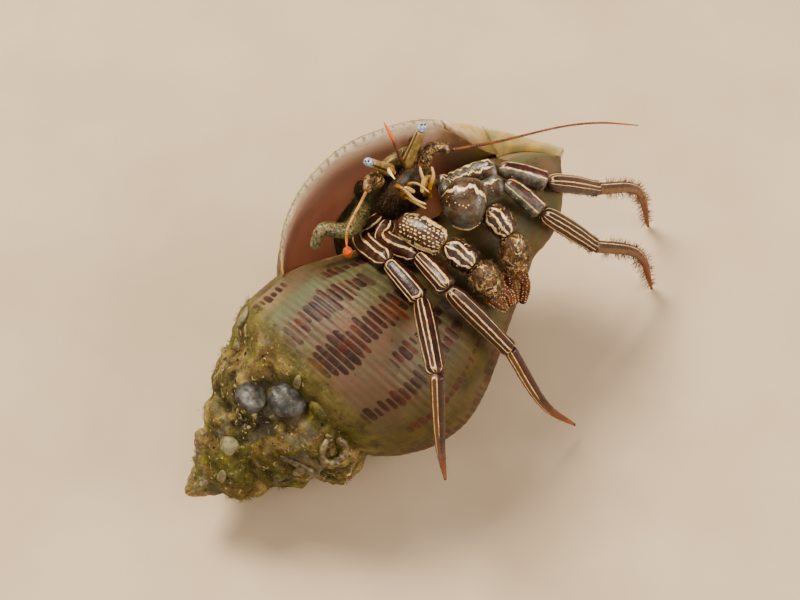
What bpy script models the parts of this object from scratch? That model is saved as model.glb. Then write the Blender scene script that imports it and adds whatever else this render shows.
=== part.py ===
"""A striped hermit crab leaning out of a heavy dextral sea-snail shell, as a still life-size model.

Metres, +Z up. The shell lies on its back on the floor with its aperture up, its axis along +X
from the apex to the siphonal canal and its outer lip on the +Y side. The crab reaches out over
the inner lip: its left legs touch the floor past the canal, its right legs hang over the whorl.
Shapes are made in millimetres in the frames named below, and scaled to metres when a mesh is made.
"""

import math

import bmesh
import bpy
import numpy as np
from mathutils import Matrix, Vector

MM = 0.001
TURN = 2.0 * math.pi
GAP = 0.3                      # clearance between neighbouring pieces, mm

# ---- shell, in its own frame: X along the axis from the apex, Y to the lip, Z out of the aperture
SHELL_LENGTH = 74.0
WHORL_GROWTH = 1.60            # size of each turn against the one before it
CANAL_GROWTH = 0.285           # how little the canal end moves along the axis as the whorl grows
SUTURE = (0.397, 0.215)        # (x, radius) over the length, where the last whorl leaves the spire
SHOULDER = (0.619, 0.337)      # the widest point of the last whorl
CANAL_RADIUS = 0.054
CANAL_FULLNESS = 0.776
COLUMELLA = dict(centre=59.5, half_length=11.5, radius=7.7)   # the swollen front of the columella
CORE_RADIUS = 2.4
CANAL_RECURVE = 3.0            # how far the canal end bends towards the back
WALL = 1.5
CRUST = dict(end=0.37, thickness=2.1, under=3.1, lump=0.55, by_lip=1.6)
APEX_CAP = 1.2                 # how far the encrusting growth reaches past the apex
SHELL_ROLL = math.radians(49.6)
SHELL_PITCH = math.radians(15.3)
APEX_HEIGHT = 10.3             # height of the apex above the floor
UNDERSIDE = math.radians(220)  # angle round the axis that faces the floor
SPIRE_CUT, CANAL_CUT, LIP_CUT = 24.0, 63.0, 16.2

# ---- crab body frame: origin at the middle of the thorax, in the standing frame
BODY_CENTRE = Vector((46.5, 11.4, 34.2))
BODY_PITCH = math.radians(30)  # the head leans from the aperture's normal towards the outer lip
FACING = (-0.33, -0.41, 0.85)  # the side that the legs' and claws' broad faces are turned to

# Walking legs: the same four lengths would suit all; each is posed by its joints.
LEG_WIDTHS = dict(merus=(2.6, 3.3, 3.0), carpus=(2.4, 3.0, 2.9), propodus=(2.7, 2.9, 2.3),
                  dactyl=(2.0, 1.9, 1.6, 1.1, 0.7))
LEG_FLATNESS = 0.72

COLOURS = dict(
    shell=((0.42, 0.36, 0.26), 0.6), crust=((0.30, 0.27, 0.12), 0.85), lip=((0.55, 0.42, 0.38), 0.4),
    canal=((0.62, 0.48, 0.26), 0.5), flesh=((0.13, 0.10, 0.05), 0.5), leg=((0.12, 0.05, 0.02), 0.4),
    claw=((0.20, 0.17, 0.13), 0.4), tip=((0.35, 0.10, 0.02), 0.4), eye=((0.45, 0.55, 0.65), 0.15),
    stalk=((0.40, 0.25, 0.06), 0.4), feeler=((0.35, 0.12, 0.04), 0.5))


# ---------------------------------------------------------------- small tools
def smooth(value):
    """0 below 0, 1 above 1, and an even curve between."""
    value = np.clip(value, 0.0, 1.0)
    return value * value * (3.0 - 2.0 * value)


def spline(points, count):
    """count points evenly spaced by chord along a Catmull-Rom curve through the given ones."""
    points = np.array(points, float)
    chord = np.linalg.norm(np.diff(points, axis=0), axis=1)
    length = np.r_[0.0, np.cumsum(chord)]
    ends = np.vstack([2 * points[0] - points[1], points, 2 * points[-1] - points[-2]])
    out = []
    for at in np.linspace(0.0, length[-1], count):
        i = min(int(np.searchsorted(length, at, side="right")) - 1, len(points) - 2)
        t = (at - length[i]) / chord[i]
        a, b, c, d = ends[i:i + 4]
        out.append(0.5 * (2 * b + (c - a) * t + (2 * a - 5 * b + 4 * c - d) * t ** 2
                          + (3 * b - a - 3 * c + d) * t ** 3))
    return np.array(out)


def material(name):
    """The Principled material of one colour group."""
    if name in bpy.data.materials:
        return bpy.data.materials[name]
    made = bpy.data.materials.new(name)
    made.use_nodes = True
    colour, rough = COLOURS[name]
    surface = made.node_tree.nodes["Principled BSDF"]
    surface.inputs["Base Color"].default_value = (*colour, 1.0)
    surface.inputs["Roughness"].default_value = rough
    surface.inputs["Metallic"].default_value = 0.0
    made.diffuse_color = (*colour, 1.0)
    return made


def add_object(name, points, faces, finish):
    """An object from millimetre points, with its faces turned outwards."""
    mesh = bpy.data.meshes.new(name)
    mesh.from_pydata([tuple(MM * float(c) for c in p) for p in points], [], faces)
    work = bmesh.new()
    work.from_mesh(mesh)
    bmesh.ops.remove_doubles(work, verts=work.verts, dist=0.02 * MM)
    bmesh.ops.dissolve_degenerate(work, edges=work.edges, dist=0.01 * MM)
    bmesh.ops.recalc_face_normals(work, faces=work.faces)
    if work.calc_volume(signed=True) < 0:
        bmesh.ops.reverse_faces(work, faces=work.faces)
    work.to_mesh(mesh)
    work.free()
    mesh.materials.append(material(finish))
    mesh.shade_smooth()
    made = bpy.data.objects.new(name, mesh)
    bpy.context.collection.objects.link(made)
    return made


def boolean(target, cutter, operation):
    """Applies an exact Boolean to the target's mesh and removes the cutter."""
    modifier = target.modifiers.new("cut", "BOOLEAN")
    modifier.operation = operation
    modifier.object = cutter
    modifier.use_self = True
    graph = bpy.context.evaluated_depsgraph_get()
    cut = bpy.data.meshes.new_from_object(target.evaluated_get(graph))
    target.modifiers.clear()
    target.data = cut
    bpy.data.objects.remove(cutter, do_unlink=True)


def block(low, high, frame=None):
    """A box between two corners in millimetres, in the given frame, to cut with."""
    mesh = bpy.data.meshes.new("block")
    work = bmesh.new()
    bmesh.ops.create_cube(work, size=1.0)
    low, high = Vector(low) * MM, Vector(high) * MM
    for vertex in work.verts:
        vertex.co = Vector([low[i] + (vertex.co[i] + 0.5) * (high[i] - low[i]) for i in range(3)])
    work.transform(frame if frame else Matrix.Identity(4))
    work.to_mesh(mesh)
    work.free()
    made = bpy.data.objects.new("block", mesh)
    bpy.context.collection.objects.link(made)
    return made


# ---------------------------------------------------------------- frames
def shell_frame():
    """Columns are the shell's own axes in the standing frame."""
    roll = Matrix.Rotation(SHELL_ROLL, 3, "X")
    pitch = Matrix.Rotation(-SHELL_PITCH, 3, "Y")
    return np.array(pitch @ roll)


SHELL_AXES = shell_frame()
APEX = np.array([0.0, 0.0, APEX_HEIGHT])


def stand(points):
    """Shell-frame points, in millimetres, as standing-frame points."""
    return np.asarray(points, float) @ SHELL_AXES.T + APEX


def body_axes():
    """(left, dorsal, anterior) unit vectors of the crab: its back faces the outer lip."""
    along, to_lip, outward = (Vector(SHELL_AXES[:, i]) for i in range(3))
    anterior = outward * math.cos(BODY_PITCH) + to_lip * math.sin(BODY_PITCH)
    dorsal = to_lip * math.cos(BODY_PITCH) - outward * math.sin(BODY_PITCH)
    return along, dorsal, anterior


BODY_AXES = body_axes()


def body(left, dorsal, anterior):
    """A point given in the crab's body frame."""
    offsets = (left, dorsal, anterior)
    return BODY_CENTRE + sum((axis * d for axis, d in zip(BODY_AXES, offsets)), Vector())


# ---------------------------------------------------------------- shell
def whorl_profile():
    """(x, radius) over the length, from the suture over the shoulder to the canal's end."""
    (x0, r0), (x1, r1), tip = SUTURE, SHOULDER, CANAL_RADIUS
    back = [(x0 + f * (x1 - x0), r0 + g * (r1 - r0)) for f, g in ((0, 0), (.12, .32), (.31, .64), (.62, .91))]
    front = [(x1 + f * (1 - x1), tip + g * (r1 - tip)) for f, g in
             ((.45, CANAL_FULLNESS), (.66, .62 * CANAL_FULLNESS), (.84, .27 * CANAL_FULLNESS), (1, 0))]
    return spline(back + [(x1, r1), (x1 + .2 * (1 - x1), .955 * r1)] + front, 120)


PROFILE = whorl_profile()
ALONG = np.linspace(0.0, 1.0, len(PROFILE))


def whorl(angle):
    """(x, radius) in millimetres of the whorl at a running angle; the lip is at a full turn."""
    scale = WHORL_GROWTH ** (angle / TURN - 1.0)
    hold = 1.0 - (1.0 - CANAL_GROWTH) * smooth((ALONG - 0.55) / 0.45)
    return PROFILE[:, 0] * scale ** hold * SHELL_LENGTH, PROFILE[:, 1] * scale * SHELL_LENGTH


def whorl_radius(x, angle):
    stations, radii = whorl(angle)
    return np.interp(x, stations, radii, left=0.0, right=0.0)


def columella_radius(x):
    t = (x - COLUMELLA["centre"]) / COLUMELLA["half_length"]
    swell = COLUMELLA["radius"] * np.sqrt(np.clip(1.0 - t * t, 0.0, 1.0))
    return np.maximum(swell, CORE_RADIUS * (x > 20.0))


def crust_thickness(x, angle):
    """The lumpy growth that covers the spire, thickest under it and beside the lip."""
    lumps = (np.sin(.42 * x + 2 * angle + .6) * np.sin(3 * angle - .13 * x + 1.1)
             + .6 * np.sin(.83 * x - 3 * angle + 2.) * np.sin(5 * angle + .4) + .35 * np.sin(1.3 * x + 4 * angle))
    along = x / SHELL_LENGTH
    fade = 1.0 - smooth((along - 0.20) / (CRUST["end"] - 0.20))
    under = (0.5 + 0.5 * np.cos(angle - UNDERSIDE)) ** 4
    by_lip = (0.5 + 0.5 * np.cos(angle - math.radians(330))) * np.exp(-((along - .36) / .10) ** 2)
    depth = CRUST["thickness"] + CRUST["under"] * under + CRUST["by_lip"] * by_lip + CRUST["lump"] * lumps
    return np.maximum(fade * depth, 0.0) * np.sqrt(np.clip((x + APEX_CAP) / 6.0, 0.0, 1.0))


def outer_radius(x, angle, turns=5):
    """The radius of the whole outside at an angle from 0 to one turn."""
    radius = columella_radius(x)
    for k in range(turns):
        radius = np.maximum(radius, whorl_radius(x, angle - TURN * k))
    return radius + crust_thickness(x, angle)


def recurve(points):
    """Bends the canal end towards the back of the shell."""
    points = np.array(points, float)
    points[..., 2] -= CANAL_RECURVE * smooth((points[..., 0] / SHELL_LENGTH - 0.68) / 0.36) ** 1.2
    return points


def round_axis(x, radius, angle):
    return np.stack([x, radius * math.cos(angle), radius * math.sin(angle)], axis=-1)


def whole_shell(rings=36, stations=34):
    """The shell's outside as one closed solid, with the lip as a step at the aperture plane."""
    share = np.linspace(0.0, 1.0, stations)
    front = COLUMELLA["centre"] + COLUMELLA["half_length"]
    rows = []
    for angle in np.linspace(1e-4, TURN, rings + 1):
        end = max(front, SHELL_LENGTH * WHORL_GROWTH ** (CANAL_GROWTH * (angle / TURN - 1.0)))
        x = -APEX_CAP + share * (front + APEX_CAP) + (end - front) * smooth((share - 0.6) / 0.4)
        rows.append(round_axis(x, outer_radius(np.minimum(x, end - 0.01), angle), angle))
    grid = recurve(np.array(rows))
    points = grid.reshape(-1, 3).tolist()
    faces = [(i * stations + j, i * stations + j + 1, (i + 1) * stations + j + 1, (i + 1) * stations + j)
             for i in range(rings) for j in range(stations - 1)]
    last = rings * stations
    faces += [(last + j, last + j + 1, j + 1, j) for j in range(stations - 1)]
    centre = len(points)
    points.append(recurve([[front, 0.0, 0.0]])[0].tolist())
    ends = [i * stations + stations - 1 for i in range(rings + 1)]
    faces += [(a, b, centre) for a, b in zip(ends, ends[1:] + ends[:1])]
    return add_object("whole_shell", stand(points), faces, "shell")


def throat(first=math.radians(150), last=math.radians(372), rings=17, stations=11):
    """The space inside the last whorl, from deep inside to just past the lip, to cut with."""
    hold = np.linspace(0.05, 0.955, stations)
    rows = []
    for i, angle in enumerate(np.linspace(first, last, rings)):
        x, radius = whorl(angle)
        x, radius = np.interp(hold, ALONG, x), np.interp(hold, ALONG, radius)
        inner = np.maximum(columella_radius(x), whorl_radius(x, angle - TURN)) + 0.4
        room = radius - WALL - inner
        open_share = smooth(i / 5.0 + 0.15)
        middle = inner + 0.5 * np.maximum(room, 0.6)
        half = 0.5 * np.maximum(room, 0.6) * open_share
        pull = 0.5 + 0.5 * open_share
        centre = x.mean()
        x = centre + (x - centre) * pull
        rows.append(np.vstack([round_axis(x, middle + half, angle), round_axis(x, middle - half, angle)[::-1]]))
    return closed_loft("throat", stand(recurve(np.array(rows))), "lip")


def closed_loft(name, rows, finish):
    """A closed solid through rings of equal point counts, with flat ends."""
    count, sides = rows.shape[:2]
    faces = [(i * sides + j, i * sides + (j + 1) % sides, (i + 1) * sides + (j + 1) % sides, (i + 1) * sides + j)
             for i in range(count - 1) for j in range(sides)]
    points = np.vstack([rows.reshape(-1, 3), rows[0].mean(axis=0), rows[-1].mean(axis=0)])
    low, high = count * sides, count * sides + 1
    faces += [((j + 1) % sides, j, low) for j in range(sides)]
    faces += [((count - 1) * sides + j, (count - 1) * sides + (j + 1) % sides, high) for j in range(sides)]
    return add_object(name, points, faces, finish)


def shell():
    """The shell, parted by plane cuts into spire, body whorl, outer lip and canal."""
    whole = whole_shell()
    boolean(whole, throat(), "DIFFERENCE")
    boolean(whole, block((-200, -200, 0), (200, 200, 200)), "INTERSECT")
    frame = Matrix.Translation(Vector(APEX) * MM) @ Matrix(SHELL_AXES.tolist()).to_4x4()
    far, half = 200.0, GAP / 2
    regions = dict(
        shell_spire=((-far, -far, -far), (SPIRE_CUT - half, far, far), "crust"),
        shell_body_whorl=((SPIRE_CUT + half, -far, -far), (CANAL_CUT - half, LIP_CUT - half, far), "shell"),
        shell_outer_lip=((SPIRE_CUT + half, LIP_CUT + half, -far), (CANAL_CUT - half, far, far), "lip"),
        shell_canal=((CANAL_CUT + half, -far, -far), (far, far, far), "canal"))
    for name, (low, high, finish) in regions.items():
        piece = whole.copy()
        piece.data = whole.data.copy()
        piece.name = name
        bpy.context.collection.objects.link(piece)
        boolean(piece, block(low, high, frame), "INTERSECT")
        piece.data.materials.clear()
        piece.data.materials.append(material(finish))
    bpy.data.objects.remove(whole, do_unlink=True)


# ---------------------------------------------------------------- crab
def tube(name, path, widths, finish, flatness=1.0, facing=(0, 0, 1), sides=8, rings=7,
         start=0.0, end=0.0, round_ends=0.72):
    """A lofted limb piece. widths are across, flatness is depth over width, facing is the side
    that the width lies across, and start and end are lengths left clear at each joint."""
    curve = spline(path, 40)
    length = np.r_[0.0, np.cumsum(np.linalg.norm(np.diff(curve, axis=0), axis=1))]
    at = np.linspace(start, length[-1] - end, rings)
    at = np.insert(at, [1, len(at) - 1], [at[0] + 0.12 * (at[1] - at[0]), at[-1] - 0.12 * (at[-1] - at[-2])])
    points = np.stack([np.interp(at, length, curve[:, i]) for i in range(3)], axis=1)
    width = np.interp(at / length[-1], np.linspace(0, 1, len(widths)), widths)
    width[0] *= round_ends
    width[-1] *= round_ends
    rows = []
    for i, point in enumerate(points):
        a, b = points[max(i - 1, 0)], points[min(i + 1, len(points) - 1)]
        tangent = Vector(b - a).normalized()
        across = Vector(facing).cross(tangent).normalized()
        deep = tangent.cross(across)
        ring = []
        for k in range(sides):
            turn = TURN * k / sides
            offset = across * math.cos(turn) + deep * (math.sin(turn) * flatness)
            ring.append(Vector(point) + offset * float(0.5 * width[i]))
        rows.append(ring)
    return closed_loft(name, np.array([[tuple(p) for p in row] for row in rows]), finish)


def bend_room(before, after, width):
    """How far a piece stops short of a bent joint, so that the two rounded ends stay clear."""
    into = (Vector(before[-1]) - Vector(before[-2])).normalized()
    out = (Vector(after[1]) - Vector(after[0])).normalized()
    return 0.5 * GAP + 0.36 * width * math.tan(0.5 * into.angle(out))


def chain(prefix, paths, pieces, facing, flatness):
    """Limb pieces along successive paths, parted by the gap at each joint."""
    for i, (piece, widths, finish, rings) in enumerate(pieces):
        start = bend_room(paths[i - 1], paths[i], widths[0]) if i else 0.0
        end = bend_room(paths[i], paths[i + 1], widths[-1]) if i < len(paths) - 1 else 0.0
        tube(f"{prefix}_{piece}", paths[i], widths, finish, flatness=flatness, facing=facing, rings=rings,
             start=start, end=end)


def bow(a, b, rise, share=0.5):
    """A path from a to b through a point raised off the chord."""
    a, b = Vector(a), Vector(b)
    return [a, a.lerp(b, share) + Vector(rise), b]


def walking_leg(name, base, hip, knee, ankle, wrist, tip, curl, merus_widths=LEG_WIDTHS["merus"]):
    """A walking leg: merus with the short pieces before it, carpus, propodus and curved dactyl."""
    paths = [[base, hip, knee], bow(knee, ankle, (0, 0, 0.2)), bow(ankle, wrist, (0, 0, 0.2)),
             bow(wrist, tip, curl, 0.55)]
    pieces = [("merus", merus_widths, "leg", 6), ("carpus", LEG_WIDTHS["carpus"], "leg", 4),
              ("propodus", LEG_WIDTHS["propodus"], "leg", 5), ("dactyl", LEG_WIDTHS["dactyl"], "tip", 7)]
    chain(name, paths, pieces, FACING, LEG_FLATNESS)


def walking_legs():
    walking_leg("leg_right_2", body(-4.9, -4.6, 0.4), (39.4, 4.6, 32.2), (40.1, -2.0, 35.3),
                (39.2, -9.7, 36.9), (44.8, -16.9, 24.1), (52.8, -24.4, 2.7), (-1.3, -0.8, -0.8))
    walking_leg("leg_right_3", body(-5.2, -3.0, -1.8), (37.4, 7.4, 31.2), (36.2, -0.1, 35.2),
                (36.0, -7.7, 34.8), (28.4, -20.1, 39.6), (27.4, -23.8, 15.8), (-0.9, -0.7, 0.2))
    walking_leg("leg_left_2", body(4.7, -5.4, 1.2), (50.6, 2.1, 34.9), (57.0, -0.8, 36.6),
                (59.1, -6.6, 33.6), (67.7, -10.0, 20.8), (79.9, -12.9, -0.1), (2.2, 0.3, 2.2))
    walking_leg("leg_left_3", body(4.9, -4.2, -1.0), (52.8, 6.0, 32.6), (58.2, 1.9, 36.0),
                (63.5, -2.8, 33.1), (74.6, -2.8, 21.5), (87.7, -3.7, -0.1), (2.6, 0.6, 2.4),
                (2.6, 3.7, 4.2, 3.4))


def cheliped(name, base, elbow, wrist, knuckle, tip, merus_widths):
    """A claw leg: merus, carpus, palm with its fixed finger, and the moving finger."""
    base, elbow, wrist, knuckle, tip = map(Vector, (base, elbow, wrist, knuckle, tip))
    aside = Vector(FACING).cross(tip - knuckle).normalized()
    palm = [wrist, knuckle, knuckle.lerp(tip, 0.5) + aside * 0.95, tip + aside * 0.35]
    pieces = [("merus", merus_widths, "claw", 6), ("carpus", (3.0, 3.8, 3.2), "claw", 5),
              ("palm", (3.0, 4.1, 3.4, 1.5, 1.3, 0.7), "claw", 8)]
    chain(name, [bow(base, elbow, (0, 0, 0.4)), bow(elbow, wrist, (0, 0, 0.3)), palm], pieces, FACING, 0.75)
    finger = [knuckle.lerp(tip, 0.12) - aside * 1.75, knuckle.lerp(tip, 0.5) - aside * 1.25, tip - aside * 0.6]
    tube(f"{name}_finger", finger, (1.3, 1.5, 1.2, 0.7), "tip", flatness=0.85, facing=FACING, rings=5)


def chelipeds():
    cheliped("cheliped_left", (47.2, 1.9, 38.0), (51.6, -3.1, 37.6), (52.4, -7.1, 35.0),
             (51.8, -9.6, 30.6), (50.7, -12.2, 24.6), (4.0, 6.8, 7.2, 4.8))
    cheliped("cheliped_right", (40.8, 3.5, 36.8), (43.2, -4.0, 37.4), (44.8, -8.2, 35.6),
             (46.4, -10.8, 31.6), (48.2, -12.8, 27.0), (3.0, 4.2, 4.3, 3.3))


def trunk():
    """Shield, thorax and the soft abdomen that coils into the last whorl."""
    left, dorsal, anterior = BODY_AXES
    tube("thorax", [body(0, -2.7, 5.0), body(0, -2.6, 0), body(0, -2.2, -6.0)], (5.4, 8.4, 9.6, 9.4, 8.2),
         "flesh", flatness=0.62, facing=dorsal, sides=14, rings=7)
    tube("shield", [body(0, 1.2, 5.0), body(0, 1.6, 0), body(0, 1.6, -4.6)], (5.0, 7.4, 8.6, 9.0, 8.2),
         "leg", flatness=0.24, facing=dorsal, sides=14, rings=6)
    coil = []
    for degrees in (295, 268, 240, 212, 190, 174):
        back = (295 - degrees) / 121
        x, radius = 43.0 - 7.2 * back, 15.8 - 3.9 * back ** 0.8
        coil.append(stand(round_axis(x, radius, math.radians(degrees))))
    path = [body(0, -0.1, -8.1), body(0, 0.6, -9.5)] + coil
    length = float(np.linalg.norm(np.diff(spline(path, 40), axis=0), axis=1).sum())
    widths = (8.4, 8.2, 7.6, 6.8, 5.8, 4.4, 2.0)
    parts = dict(abdomen_front=(0.0, 0.50), abdomen_rear=(0.50, 0.90), tail_fan=(0.90, 1.0))
    for name, (first, last) in parts.items():
        tube(name, path, widths, "flesh", flatness=0.8, facing=left, sides=12, rings=6,
             start=first * length + GAP / 2, end=(1.0 - last) * length + GAP / 2)


def head():
    """Eyestalks, eyes, antennules, antennae and mouthparts."""
    ahead = BODY_AXES[2]
    eyes = dict(left=((46.1, 8.2, 40.2), (49.5, 8.6, 46.6)), right=((44.0, 9.0, 40.2), (40.0, 9.2, 45.6)))
    for side, (base, tip) in eyes.items():
        base, tip = Vector(base), Vector(tip)
        neck = tip - (tip - base).normalized() * 1.0
        tube(f"eyestalk_{side}", [base, neck], (1.5, 1.35, 1.25, 1.3), "stalk", facing=ahead,
             rings=5, end=GAP)
        beyond = tip + (tip - base).normalized() * 0.9
        tube(f"eye_{side}", [neck, neck.lerp(beyond, 0.5), beyond], (1.25, 1.7, 1.5, 0.8), "eye", facing=ahead,
             sides=12, rings=6)
    tube("antennule_left", [(45.0, 7.2, 42.4), (44.6, 7.6, 44.2), (44.6, 9.4, 47.0), (44.6, 11.2, 48.6)],
         (1.0, 0.8, 0.7, 0.8, 0.5), "feeler", facing=ahead, rings=7)
    tube("antennule_right", [(43.2, 7.2, 42.3), (42.2, 7.0, 44.4), (41.0, 5.4, 46.4), (40.6, 3.8, 46.8)],
         (1.0, 0.8, 0.7, 0.8, 0.5), "feeler", facing=ahead, rings=7)
    tube("antenna_base_left", [(47.6, 6.6, 40.0), (49.6, 7.0, 42.9), (51.8, 5.6, 42.0)], (1.9, 1.9, 1.5, 1.2),
         "leg", facing=ahead, rings=6)
    tube("antenna_left", [(52.1, 5.4, 41.9), (58.3, 2.3, 42.0), (67.1, -0.5, 40.8), (72.8, -2.9, 39.5),
                          (79.0, -4.8, 35.7)], (1.0, 0.75, 0.6, 0.55, 0.5), "feeler", facing=ahead, sides=6,
         rings=12, start=0.2)
    tube("antenna_base_right", [(41.6, 8.3, 40.4), (39.8, 8.2, 42.6), (38.0, 6.8, 43.0)], (1.9, 1.9, 1.5, 1.2),
         "leg", facing=ahead, rings=6)
    tube("antenna_right", [(37.8, 6.6, 43.2), (36.0, 5.6, 43.2), (32.4, 3.8, 42.6), (29.6, 1.4, 44.6)],
         (1.0, 0.8, 0.65, 0.8, 0.6), "feeler", facing=ahead, sides=6, rings=8, start=0.2)
    tube("maxilliped_left", [(46.9, 5.0, 37.6), (47.6, 4.2, 40.0), (46.0, 4.0, 41.8), (44.9, 3.2, 40.4)],
         (1.7, 1.7, 1.4, 0.9), "stalk", facing=ahead, rings=7)
    tube("maxilliped_right", [(43.8, 5.6, 38.2), (42.8, 4.9, 40.0), (43.0, 4.4, 41.8), (44.0, 3.6, 41.0)],
         (1.7, 1.7, 1.4, 0.9), "stalk", facing=ahead, rings=7)


def rear_legs():
    """The short fourth and fifth legs, which brace the crab against the inside of its shell."""
    across = BODY_AXES[1]
    tube("leg_right_4", [body(-5.9, -0.5, -1.6), (35.4, 7.6, 35.0), (32.0, 9.2, 36.4), (29.6, 8.4, 34.6)],
         (1.6, 1.9, 1.6, 1.3, 0.8), "leg", facing=across, rings=8)
    tube("leg_left_4", [body(5.3, 1.0, -4.6), body(5.6, 1.8, -2.6), body(5.6, 1.9, -0.4), body(6.0, 1.2, 1.6)],
         (1.3, 1.5, 1.4, 1.2, 0.8), "leg", facing=across, rings=8)
    for side, way in (("left", 1), ("right", -1)):
        path = [body(way * 3.2, 3.2, -6.3), body(way * 4.5, 2.9, -7.4), body(way * 5.0, 2.0, -8.6)]
        tube(f"leg_{side}_5", path, (1.0, 1.2, 0.9, 0.7), "leg", facing=across, rings=5)


def cut_floor(names):
    """Trims pieces that stand on the floor to small flats at one level."""
    for name in names:
        boolean(bpy.data.objects[name], block((-200, -200, 0), (200, 200, 200)), "INTERSECT")


def centre_on_floor():
    """Moves everything so that the origin is under the middle of the whole model's box."""
    nodes = [o for o in bpy.data.objects if o.type == "MESH"]
    corners = np.array([v.co for o in nodes for v in o.data.vertices])
    middle = 0.5 * (corners.min(axis=0) + corners.max(axis=0))
    for node in nodes:
        node.data.transform(Matrix.Translation((-middle[0], -middle[1], 0.0)))


def main():
    for old in list(bpy.data.objects):
        bpy.data.objects.remove(old, do_unlink=True)
    shell()
    trunk()
    head()
    walking_legs()
    chelipeds()
    rear_legs()
    cut_floor(["leg_left_2_dactyl", "leg_left_3_dactyl"])
    centre_on_floor()


main()
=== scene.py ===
"""Looks of a striped hermit crab in a large overgrown sea-snail shell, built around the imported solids.

Shapes are made in millimetres in the standing frame of the solids' design: the shell's apex above
x = y = 0, the floor at z = 0, the shell's axis heading along +X and its outer lip on the +Y side.
place() turns them into metres in the row frame.
"""
import math
from collections import namedtuple
from functools import reduce

import bmesh
import bpy
import numpy as np
from mathutils import Matrix, Vector


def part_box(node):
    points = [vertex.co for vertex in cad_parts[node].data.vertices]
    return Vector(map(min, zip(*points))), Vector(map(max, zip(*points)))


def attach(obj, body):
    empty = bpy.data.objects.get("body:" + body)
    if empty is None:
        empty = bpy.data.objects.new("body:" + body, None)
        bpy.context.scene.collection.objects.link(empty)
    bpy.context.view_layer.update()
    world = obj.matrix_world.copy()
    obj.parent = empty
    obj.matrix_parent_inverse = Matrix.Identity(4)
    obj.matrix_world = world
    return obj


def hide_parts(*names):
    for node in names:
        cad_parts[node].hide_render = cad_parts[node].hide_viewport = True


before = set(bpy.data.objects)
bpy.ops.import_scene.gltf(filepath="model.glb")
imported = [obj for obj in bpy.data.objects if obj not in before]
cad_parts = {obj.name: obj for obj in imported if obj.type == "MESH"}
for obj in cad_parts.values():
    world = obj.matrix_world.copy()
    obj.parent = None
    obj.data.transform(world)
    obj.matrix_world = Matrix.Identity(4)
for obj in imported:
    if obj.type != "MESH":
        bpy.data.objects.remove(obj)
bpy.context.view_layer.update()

MM = 0.001
TURN = 2.0 * math.pi
BODY = "root"

# The apex cap's far end lies this far before the apex along x, which places the standing frame.
APEX_REACH = 1.1585
ORIGIN = np.array([-APEX_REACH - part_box("shell_spire")[0].x / MM, -0.603, 0.0])

# ---- shell: X along the axis from the apex, Y to the lip, Z out of the aperture. The form follows the
# solids, apart from the columella, whose front end reaches 1.7 mm further.
SHELL_LENGTH = 74.0
WHORL_GROWTH = 1.60
CANAL_GROWTH = 0.285
SUTURE = (0.397, 0.215)
SHOULDER = (0.619, 0.337)
CANAL_RADIUS = 0.054
CANAL_FULLNESS = 0.776
COLUMELLA = dict(centre=60.3, half_length=12.4, radius=7.7)
CORE_RADIUS, CORE_FROM = 2.4, 20.0     # the columella's thin part, and where it starts
CANAL_RECURVE = dict(depth=3.0, start=0.68, reach=0.36)
WALL = 1.5
CRUST = dict(full=0.20, end=0.37, thickness=2.1, under=3.1, lump=0.55, by_lip=1.6)
CRUST_BY_LIP = dict(angle=math.radians(330), station=0.36, reach=0.10)
APEX_CAP = 1.2
SHELL_ROLL = math.radians(49.6)
SHELL_PITCH = math.radians(15.3)
APEX_HEIGHT = 10.3
UNDERSIDE = math.radians(220)
WINDINGS = 5                    # how many turns of the spiral are looked at for one point of the outside
BLEND = 0.35                    # how softly one turn of the shell runs into the next
CORDS = 36                      # spiral cords across the whorl, which also notch the lip
RIM_WALL = 0.45                 # thickness of the outer lip's edge
RIM_DEPTH = math.radians(38)    # how far inside the lip the wall reaches its full thickness
LIP_FLARE = dict(depth=0.115, reach=math.radians(75), skew=0.62)   # the whorl narrows, then flares
TOOTH = 0.22                    # how far the cords stand out as teeth on the lip
# The lip's edge: its place in the wall, its rise, its shares of the teeth outside and inside, and how
# far it swells where the hollow closes.
RIM = dict(inset=0.45, lift=0.16, tooth=1.1, inner_tooth=0.35, swell=1.2)
HOLLOW_STEPS = dict(near=12, near_rows=8, far=210)    # degrees behind the lip, with close rows at first
HOLLOW_START = math.radians(40)     # the turn over which the hollow's floor leaves the outside's columns
LEAST_GAP = 0.25                # the hollow begins and ends where it is narrower than this
LEAST_ROOM = 0.05               # what the hollow keeps free above its floor
RIDGE = 0.035                   # how far a cord stands up
# Noises as (size, octaves, seed, height) in millimetres.
CRUST_ROUGHNESS = ((3.6, 4, 5, 0.75), (1.5, 3, 9, 0.45))
WORN_SURFACE = ((7.0, 2, 31, 0.12), (2.2, 2, 37, 0.04))
CANAL_ROUNDING = 9.5            # how far from its end the canal begins to round off
CANAL_SOLID = 8.0               # how much of the canal's end has no hollow
CANAL_CLOSING = 5.5             # the length over which the hollow narrows to nothing
CANAL_BULGE = 0.22              # how high the cover of the canal's end rises, as a share of its width
FRONT_OUT, FRONT_SWELL = 0.4, 0.5   # how far the middle and the rings of the canal's front stand out
FRONT_CUT = 0.985               # the share of the squared radius that the rounding takes off at the front

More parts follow.
